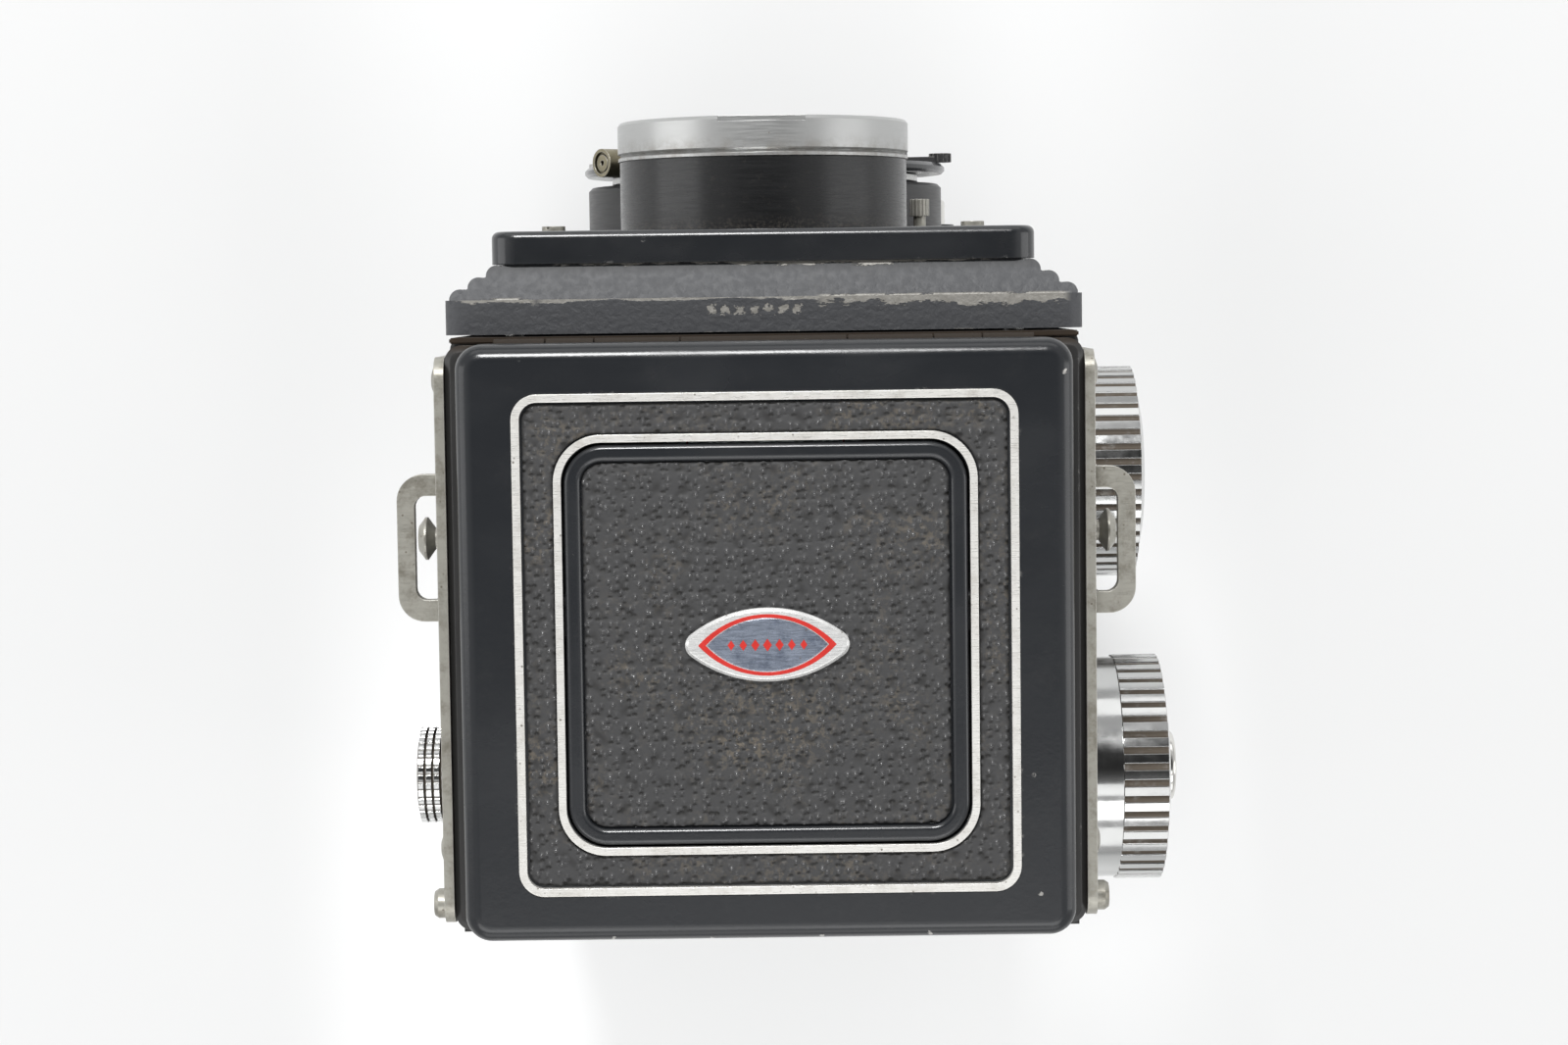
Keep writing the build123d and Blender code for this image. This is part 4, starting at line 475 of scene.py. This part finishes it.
barrel_rear, viewing_ring_rear, taking_ring_rear = (
    box_mm(node)[1].y for node in ("viewing_barrel", "viewing_ring", "taking_ring")
)
looks = {
    "enamel": enamel("black_enamel"),
    "enamel_lid": enamel("black_enamel_lid", grime_and_shade=HINGE_CORNER, spots=CHIPS),
    "enamel_body": enamel("black_enamel_worn", (0.022, 0.0215, 0.021), 0.9, 0.28, HINGE_CORNER),
    "cast": cast_paint("cast_black", (slope_top, slope_foot), WEAR, marks=MARKS),
    "cast_body": cast_paint("cast_black_body", (slope_top, slope_foot), (), (0.030, 0.030, 0.030)),
    "inner": plain("matt_black", (0.006, 0.006, 0.006), 0.8),
    "satin": satin_black("satin_black"),
    "barrel": satin_black("satin_black_barrel", (0.008, 0.0083, 0.009), 0.26, barrel_rear),
    "crinkle": satin_black("hood_black", (0.013, 0.013, 0.014), 0.5),
    "nickel": worn_metal("worn_nickel", (0.36, 0.35, 0.31), (0.14, 0.125, 0.095), 0.36, metal=0.6),
    "steel": worn_metal("steel", (0.56, 0.56, 0.55), (0.36, 0.35, 0.33), 0.28),
    "bright": worn_metal("bright_trim", (0.72, 0.71, 0.68), (0.50, 0.48, 0.44), 0.3, metal=0.45),
    "chrome": chrome("chrome"),
    "ring": satin_ring("satin_aluminium_viewing", viewing_ring_rear),
    "ring2": satin_ring("satin_aluminium_taking", taking_ring_rear),
    "brass": worn_metal("aged_brass", (0.26, 0.235, 0.165), (0.11, 0.095, 0.06)),
    "glass": lens_glass("coated_glass", 125.0),
    "glass2": lens_glass("coated_glass_amber", 90.0),
    "screen": ground_glass("ground_glass", 19.0),
    "mirror": plain("mirror", (0.86, 0.87, 0.88), 0.07, 1.0),
    "plastic": plain("spool_plastic", (0.014, 0.014, 0.014), 0.5),
    "dial": plain("dial_white", (0.60, 0.60, 0.57), 0.45),
    "leather": leatherette("leatherette", relief="grain", handled=(0.5, 9.0)),
    "leather_side": leatherette("leatherette_sides"),
    "red": enamel_red("red_enamel"),
    "bright_badge": worn_metal("badge_chrome", (0.80, 0.80, 0.79), (0.60, 0.60, 0.60), 0.22, metal=0.55),
    "badge_blue": worn_metal("badge_centre", (0.30, 0.34, 0.42), (0.05, 0.07, 0.12), 0.2, (0.5, 4.0, 4.0), 0.7),
    "felt": plain("brown_felt", (0.022, 0.014, 0.008), 0.95),
}
node_looks = {
    "enamel": ("front_plate", "finder_flap", "shutter_face"),
    "enamel_lid": ("hood_lid",),
    "enamel_body": ("back_door", "hood_frame"),
    "cast": ("standard_casting",),
    "cast_body": ("body_casting",),
    "inner": ("light_chamber", "light_tubes"),
    "satin": ("film_gate", "shutter_housing", "pressure_plate", "aperture_lever", "cocking_lever"),
    "barrel": ("viewing_barrel",),
    "crinkle": ("left_leaf", "right_leaf", "rear_leaf", "magnifier_frame"),
    "nickel": (
        "side_plate_left",
        "side_plate_right",
        "strap_lugs",
        "body_screws",
        "front_screws",
        "tripod_bush",
        "latch_dial",
        "terminal_post",
    ),
    "steel": (
        "roller_upper",
        "roller_lower",
        "shaft_bushes",
        "hinge_pins",
        "guide_rods",
        "focus_rail",
        "iris_blades",
        "speed_lever",
        "flash_lever",
        "focus_cam",
        "advance_shaft",
    ),
    "bright": ("lid_trims",),
    "chrome": ("release_button", "advance_button"),
    "ring": ("viewing_ring",),
    "ring2": ("taking_ring",),
    "brass": ("sync_socket",),
    "glass": ("viewing_glass", "magnifier_lens"),
    "glass2": ("taking_glass",),
    "screen": ("focusing_screen",),
    "mirror": ("reflex_mirror",),
    "plastic": ("take_up_spool",),
    "dial": ("counter_dial",),
    "leather": ("door_leather", "lid_leathers"),
    "leather_side": ("side_leathers",),
    "bright_badge": ("lid_badge",),
}


def dress(piece, material):
    """Gives every slot of a piece the material."""
    if not piece.material_slots:
        piece.data.materials.append(material)
    for slot in piece.material_slots:
        slot.material = material


for look_name, names in node_looks.items():
    for node in names:
        dress(nodes[node], looks[look_name])
for node in GROOVED:
    dress(nodes[node], knob_look(f"chrome_{node}", node))


# ---- Pieces ----------------------------------------------------------------------------------------------
def add_piece(name, mesh, body, material, smooth=True):
    """Puts a finished mesh in the scene, on its body and with its material."""
    piece = bpy.data.objects.new(name, mesh)
    bpy.context.scene.collection.objects.link(piece)
    dress(piece, material)
    if smooth:
        mesh.polygons.foreach_set("use_smooth", [True] * len(mesh.polygons))
    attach(piece, body)
    return piece


def pebbles(u, v, pitch, seed):
    """Height of the leatherette's grain at points in millimetres, from 0 in the pits to 1 on the grains."""
    rng = np.random.default_rng(seed)
    size = 256
    shift = rng.uniform(-0.40, 0.40, (2, size, size))
    wide = rng.uniform(0.19, 0.30, (size, size))
    tall = rng.uniform(0.45, 1.0, (size, size))
    lean = rng.uniform(-0.12, 0.12, (size, size))
    deep = rng.uniform(0.35, 1.0, (size, size))
    a, b = u / pitch, v / pitch
    column, row = np.floor(a).astype(int), np.floor(b).astype(int)
    grains = np.zeros_like(u)
    holes = np.zeros_like(u)
    for i in (-1, 0, 1):
        for j in (-1, 0, 1):
            c, r = (column + i) % size, (row + j) % size
            centre_a = column + i + 0.5 + shift[0, c, r]
            centre_b = row + j + 0.5 + shift[1, c, r]
            away = ((a - centre_a) ** 2 + (b - centre_b) ** 2) / wide[c, r] ** 2
            grains = np.maximum(grains, tall[c, r] * np.exp(-away))
            away = ((a - centre_a - lean[c, r]) / 0.24) ** 2 + ((b - centre_b - 0.36) / 0.20) ** 2
            holes = np.maximum(holes, deep[c, r] * np.exp(-away))
    rolling = 0.06 * (np.sin(a * 1.9 + np.sin(b * 1.3)) + np.sin(b * 2.3 + np.sin(a * 1.7)))
    return np.clip(0.40 + rolling + 0.60 * grains - 0.42 * holes * (1 - grains), 0, 1)


def rounded_box(u, v, half_u, half_v, corner):
    """Signed distance from a rounded rectangle's outline, negative inside."""
    du = np.abs(u) - (half_u - corner)
    dv = np.abs(v) - (half_v - corner)
    outside = np.hypot(np.maximum(du, 0), np.maximum(dv, 0))
    return outside + np.minimum(np.maximum(du, dv), 0) - corner


GRAIN_PITCH = 1.06
# The sheets' edges roll down by EDGE_DROP over EDGE_WIDE
EDGE_WIDE, EDGE_DROP = 0.5, 0.22


def leather_panel(name, outline, half_u, half_v, cell, place, thick, relief, seed, body, material):
    """A sheet of leatherette with its grain modelled.

    outline(u, v) is the signed distance from the sheet's edge in millimetres. place(u, v, w) turns the sheet's
    coordinates, w above its back, into the camera's.
    """
    count_u, count_v = int(2 * half_u / cell) + 3, int(2 * half_v / cell) + 3
    u, v = np.meshgrid(
        (np.arange(count_u) - (count_u - 1) / 2) * cell,
        (np.arange(count_v) - (count_v - 1) / 2) * cell,
        indexing="ij",
    )
    away = outline(u, v)
    step = 0.01
    lean_u = (outline(u + step, v) - away) / step
    lean_v = (outline(u, v + step) - away) / step
    spill = (away > 0) & (away < 0.75 * cell)
    u = np.where(spill, u - away * lean_u, u)
    v = np.where(spill, v - away * lean_v, v)
    kept = (away <= 0) | spill
    grain = pebbles(u, v, GRAIN_PITCH, seed)
    roll = np.clip(-outline(u, v) / EDGE_WIDE, 0, 1)
    w = thick - relief * (1 - grain) - EDGE_DROP * (1 - roll) ** 2
    points = np.stack(place(u, v, w), -1) * MM
    index = -np.ones(u.shape, int)
    faces = kept[:-1, :-1] & kept[1:, :-1] & kept[1:, 1:] & kept[:-1, 1:]
    used = np.zeros_like(kept)
    for a, b in ((0, 0), (1, 0), (1, 1), (0, 1)):
        used[a : a + faces.shape[0], b : b + faces.shape[1]] |= faces
    index[used] = np.arange(used.sum())
    rows, columns = np.nonzero(faces)
    corners = [index[rows + a, columns + b] for a, b in ((0, 0), (1, 0), (1, 1), (0, 1))]
    quads = np.stack(corners, -1)
    mesh = bpy.data.meshes.new(name)
    mesh.from_pydata(points[used].tolist(), [], quads.tolist())
    attribute = mesh.attributes.new("grain", "FLOAT", "POINT")
    attribute.data.foreach_set("value", grain[used].astype(np.float32))
    back = Vector(place(0.0, 0.0, 0.0)) - Vector(place(0.0, 0.0, thick))
    work = bmesh.new()
    work.from_mesh(mesh)
    bmesh.ops.recalc_face_normals(work, faces=work.faces[:])
    work.faces.ensure_lookup_table()
    if work.faces[0].normal.dot(back) > 0:
        bmesh.ops.reverse_faces(work, faces=work.faces[:])
    rim = [edge for edge in work.edges if edge.is_boundary]
    made = bmesh.ops.extrude_edge_only(work, edges=rim)
    for vertex in [g for g in made["geom"] if isinstance(g, bmesh.types.BMVert)]:
        vertex.co += back.normalized() * (thick - 0.25) * MM
    work.to_mesh(mesh)
    work.free()
    return add_piece(name, mesh, body, material)


# The leather lies in two places on the lid: on the square flap, and in the frame between the bright lines
skin_back = box_mm("lid_leathers")[0].z
FLAP_HALF, FLAP_CORNER = 21.45, 2.3
FRAME_OUT, FRAME_IN = 28.35, 24.95
FRAME_OUT_CORNER, FRAME_IN_CORNER = 1.8, 5.6
LID_CELL = 0.15


def on_lid(u, v, w):
    return u, v, skin_back + w


def in_frame(u, v):
    """Signed distance from the edges of the leather frame between the bright lines."""
    outer = rounded_box(u, v, FRAME_OUT, FRAME_OUT, FRAME_OUT_CORNER)
    return np.maximum(outer, -rounded_box(u, v, FRAME_IN, FRAME_IN, FRAME_IN_CORNER))


flap_leather = leather_panel(
    "leather_flap",
    lambda u, v: rounded_box(u, v, FLAP_HALF, FLAP_HALF, FLAP_CORNER),
    FLAP_HALF,
    FLAP_HALF,
    LID_CELL,
    on_lid,
    thick=0.82,
    relief=0.60,
    seed=11,
    body="lid",
    material=looks["leather"],
)
border_leather = leather_panel(
    "leather_border",
    in_frame,
    FRAME_OUT,
    FRAME_OUT,
    LID_CELL,
    on_lid,
    thick=0.78,
    relief=0.58,
    seed=12,
    body="lid",
    material=looks["leather"],
)
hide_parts("lid_leathers")
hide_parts("lid_leathers")

door_low, door_high = box_mm("door_leather")
door_middle = (door_low + door_high) / 2
DOOR_HALF_WIDE, DOOR_HALF_TALL, DOOR_CORNER, DOOR_CELL = 31.0, 54.0, 3.0, 0.36
door_leather = leather_panel(
    "leather_door",
    lambda u, v: rounded_box(u, v, DOOR_HALF_WIDE, DOOR_HALF_TALL, DOOR_CORNER),
    DOOR_HALF_WIDE,
    DOOR_HALF_TALL,
    DOOR_CELL,
    lambda u, v, w: (u + door_middle.x, door_low.y + w, v + door_middle.z),
    thick=0.62,
    relief=0.20,
    seed=13,
    body="door",
    material=looks["leather"],
)
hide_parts("door_leather")


# The badge: a red enamel ring and a polished middle with a row of plain lozenges, all inside the bright rim
badge_low, badge_high = box_mm("lid_badge")
badge_mid = (badge_low + badge_high) / 2
badge_half = (badge_high.x - badge_low.x) / 2, (badge_high.y - badge_low.y) / 2


def pointed_oval(inset, count=24):
    """Outline of the badge moved inwards by inset: two arcs that meet at its ends."""
    half_long, half_wide = badge_half[0] - 2.1 * inset, badge_half[1] - inset
    radius = (half_long**2 + half_wide**2) / (2 * half_wide)
    swing = np.arcsin(half_long / radius)
    points = []
    for side in (1, -1):
        for turn in np.linspace(-swing, swing, count, endpoint=False):
            points.append((side * radius * sin(turn), side * (radius * cos(turn) - radius + half_wide)))
    return points


def solid_between(outer, inner, low, high, bevel=0.05):
    """Mesh of a ring, or of a plate if inner is None, standing on Z = low with its upper edges bevelled."""
    work = bmesh.new()
    put = lambda points, z: [work.verts.new(Vector((x + badge_mid.x, y + badge_mid.y, z)) * MM) for x, y in points]
    shrink = lambda points, by: [(x * (1 - by / 9), y * (1 - by / 4)) for x, y in points]
    rings = [put(outer, low), put(outer, high - bevel), put(shrink(outer, bevel), high)]
    if inner:
        rings += [put(shrink(inner, -bevel), high), put(inner, high - bevel), put(inner, low)]
    for first, second in zip(rings, rings[1:]):
        for n in range(len(first)):
            after = (n + 1) % len(first)
            work.faces.new((first[n], first[after], second[after], second[n]))
    if not inner:
        work.faces.new(rings[-1])
    bmesh.ops.recalc_face_normals(work, faces=work.faces[:])
    mesh = bpy.data.meshes.new("badge")
    work.to_mesh(mesh)
    work.free()
    return mesh


badge_top = badge_high.z
BADGE_SUNK = 0.15  # the pieces' feet are sunk this deep in the rim's plate
RED_OUTER, RED_INNER, RED_PROUD = 0.72, 1.16, 0.05
MIDDLE_OUTER, MIDDLE_PROUD = 1.2, 0.02
ring_mesh = solid_between(
    pointed_oval(RED_OUTER), pointed_oval(RED_INNER), badge_top - BADGE_SUNK, badge_top + RED_PROUD
)
add_piece("badge_ring", ring_mesh, "lid", looks["red"], smooth=False)
middle_mesh = solid_between(
    pointed_oval(MIDDLE_OUTER), None, badge_top - BADGE_SUNK, badge_top + MIDDLE_PROUD, 0.02
)
add_piece("badge_middle", middle_mesh, "lid", looks["badge_blue"], smooth=False)
LOZENGE = ((0.52, 0), (0, 0.75), (-0.52, 0), (0, -0.75))
LOZENGES, LOZENGE_PITCH, LOZENGE_SHRINK, LOZENGE_PROUD = 7, 1.42, 0.07, 0.06
for n in range(LOZENGES):
    from_middle = n - LOZENGES // 2
    across = from_middle * LOZENGE_PITCH
    size = 1.0 - LOZENGE_SHRINK * abs(from_middle)
    outline = [(across + x * size, y * size) for x, y in LOZENGE]
    mark = solid_between(outline, None, badge_top, badge_top + LOZENGE_PROUD, 0.015)
    add_piece(f"badge_lozenge_{n}", mark, "lid", looks["red"], smooth=False)

# Dusty felt round the front of the body, in the gap behind the lens standard
SEAL_HALF, SEAL_FOOT, SEAL_TOP, SEAL_BACK, SEAL_THICK, SEAL_WIDE = 37.6, 13.0, 136.6, -35.45, 0.7, 4.0
seal_mesh = bpy.data.meshes.new("seal")
seal = bmesh.new()
for depth in (SEAL_BACK, SEAL_BACK - SEAL_THICK):
    for inset in (0.0, SEAL_WIDE):
        half, foot, top = SEAL_HALF - inset, SEAL_FOOT + inset, SEAL_TOP - inset
        for x, z in ((-half, foot), (half, foot), (half, top), (-half, top)):
            seal.verts.new(Vector((x, depth, z)) * MM)
seal.verts.ensure_lookup_table()
ring_of = lambda first: [seal.verts[first + n] for n in range(4)]
loops = [ring_of(0), ring_of(4), ring_of(12), ring_of(8)]
for one, other in zip(loops, loops[1:] + loops[:1]):
    for n in range(4):
        seal.faces.new((one[n], one[(n + 1) % 4], other[(n + 1) % 4], other[n]))
bmesh.ops.recalc_face_normals(seal, faces=seal.faces[:])
bmesh.ops.bevel(seal, geom=seal.edges[:], offset=0.15 * MM, segments=2, affect="EDGES")
seal.to_mesh(seal_mesh)
seal.free()
add_piece("felt_seal", seal_mesh, "body", looks["felt"], smooth=False)

# ---- The set ---------------------------------------------------------------------------------------------
floor_mesh = bpy.data.meshes.new("floor")
FLOOR_HALF, FLOOR_Z = 2.5, -0.0002
floor_corners = [(x * FLOOR_HALF, y * FLOOR_HALF, FLOOR_Z) for x, y in ((-1, -1), (1, -1), (1, 1), (-1, 1))]
floor_mesh.from_pydata(floor_corners, [], [(0, 1, 2, 3)])
floor = bpy.data.objects.new("floor", floor_mesh)
bpy.context.scene.collection.objects.link(floor)
paper = Look("pale_paper")
# Painted light: the paper is made paler in the band where the camera's shadow falls, more so behind it, and it
# glows a little to lift its shadows
PAPER_ALBEDO, SHADED_FRONT, SHADED_BACK = 0.54, 0.63, 0.83
shaded = paper.ramp(paper.math("ABSOLUTE", paper.axis(0)), 85.0, 40.0)
within = paper.ramp(paper.axis(1), -40.0, 60.0, SHADED_FRONT, SHADED_BACK)
paper.set(
    Base_Color=paper.blend(shaded, PAPER_ALBEDO, within),
    # Painted light: a faint glow of the paper itself
    Emission_Color=(0.98, 1.0, 1.0),
    Emission_Strength=0.2,
    Roughness=paper.ramp(paper.noise(0.02, 3.0), 0.3, 0.7, 0.86, 0.94),
)
dress(floor, paper.material)


def softbox(name, place, size, power, aim=(0, 0, 80)):
    """A square soft light at place, in millimetres, turned to aim."""
    light = bpy.data.lights.new(name, "AREA")
    light.shape = "RECTANGLE"
    light.size, light.size_y = size[0] * MM, size[1] * MM
    light.energy = power
    lamp = bpy.data.objects.new(name, light)
    lamp.location = Vector(place) * MM
    lamp.rotation_euler = (Vector(aim) - Vector(place)).to_track_quat("-Z", "Y").to_euler()
    bpy.context.scene.collection.objects.link(lamp)


softbox("key", (90, -720, 980), (280, 240), 9.5)
softbox("front", (0, -640, 300), (900, 260), 0.8, aim=(0, -260, 0))
softbox("left", (700, -60, 330), (300, 560), 0.8)
softbox("right", (-700, 60, 330), (300, 560), 0.9)
softbox("behind", (60, 520, 760), (900, 300), 2.2)
softbox("far", (0, 900, 420), (900, 400), 1.2)
softbox("above", (-60, 440, 1500), (700, 300), 0.75, aim=(0, 30, 147))

# The surroundings: pale low down, dark in a wide circle behind the camera. The two cosines bound the circle's edge
DARK_TOWARD = (0.0, -0.28, 1.0)
EDGE_COSINES = (0.80, 0.99)
PALE, DARK, WORLD_STRENGTH = 0.95, 0.06, 0.62
world = bpy.data.worlds.new("studio")
bpy.context.scene.world = world
world.use_nodes = True
sky = world.node_tree
coordinates = sky.nodes.new("ShaderNodeTexCoord")
toward = sky.nodes.new("ShaderNodeVectorMath")
toward.operation = "DOT_PRODUCT"
toward.inputs[1].default_value = Vector(DARK_TOWARD).normalized()
fall = sky.nodes.new("ShaderNodeMapRange")
fall.interpolation_type = "SMOOTHSTEP"
for socket, number in zip(fall.inputs[1:5], (*EDGE_COSINES, PALE, DARK)):
    socket.default_value = number
sky.links.new(coordinates.outputs["Generated"], toward.inputs[0])
sky.links.new(toward.outputs["Value"], fall.inputs[0])
sky.links.new(fall.outputs[0], sky.nodes["Background"].inputs["Color"])
sky.nodes["Background"].inputs["Strength"].default_value = WORLD_STRENGTH

# ---- The camera, above the lid and a little towards the lenses -------------------------------------------
EYE = Vector((-2.12, -41.13, 501.23)) * MM
LEAN_X, LEAN_Y, ROLL = -0.00001, 0.075645, -0.013046
forward = Vector((sin(LEAN_X), sin(LEAN_Y), -1)).normalized()
right = forward.cross(Vector((0, -1, 0))).normalized()
up = right.cross(forward)
right, up = right * cos(ROLL) + up * sin(ROLL), up * cos(ROLL) - right * sin(ROLL)
lens = bpy.data.cameras.new("camera")
lens.lens = 70.0
lens.sensor_width = 36.0
lens.clip_start = 0.01
viewer = bpy.data.objects.new("camera", lens)
viewer.matrix_world = Matrix.Translation(EYE) @ Matrix((right, up, -forward)).transposed().to_4x4()
bpy.context.scene.collection.objects.link(viewer)
bpy.context.scene.camera = viewer
bpy.context.scene.view_settings.view_transform = "Standard"
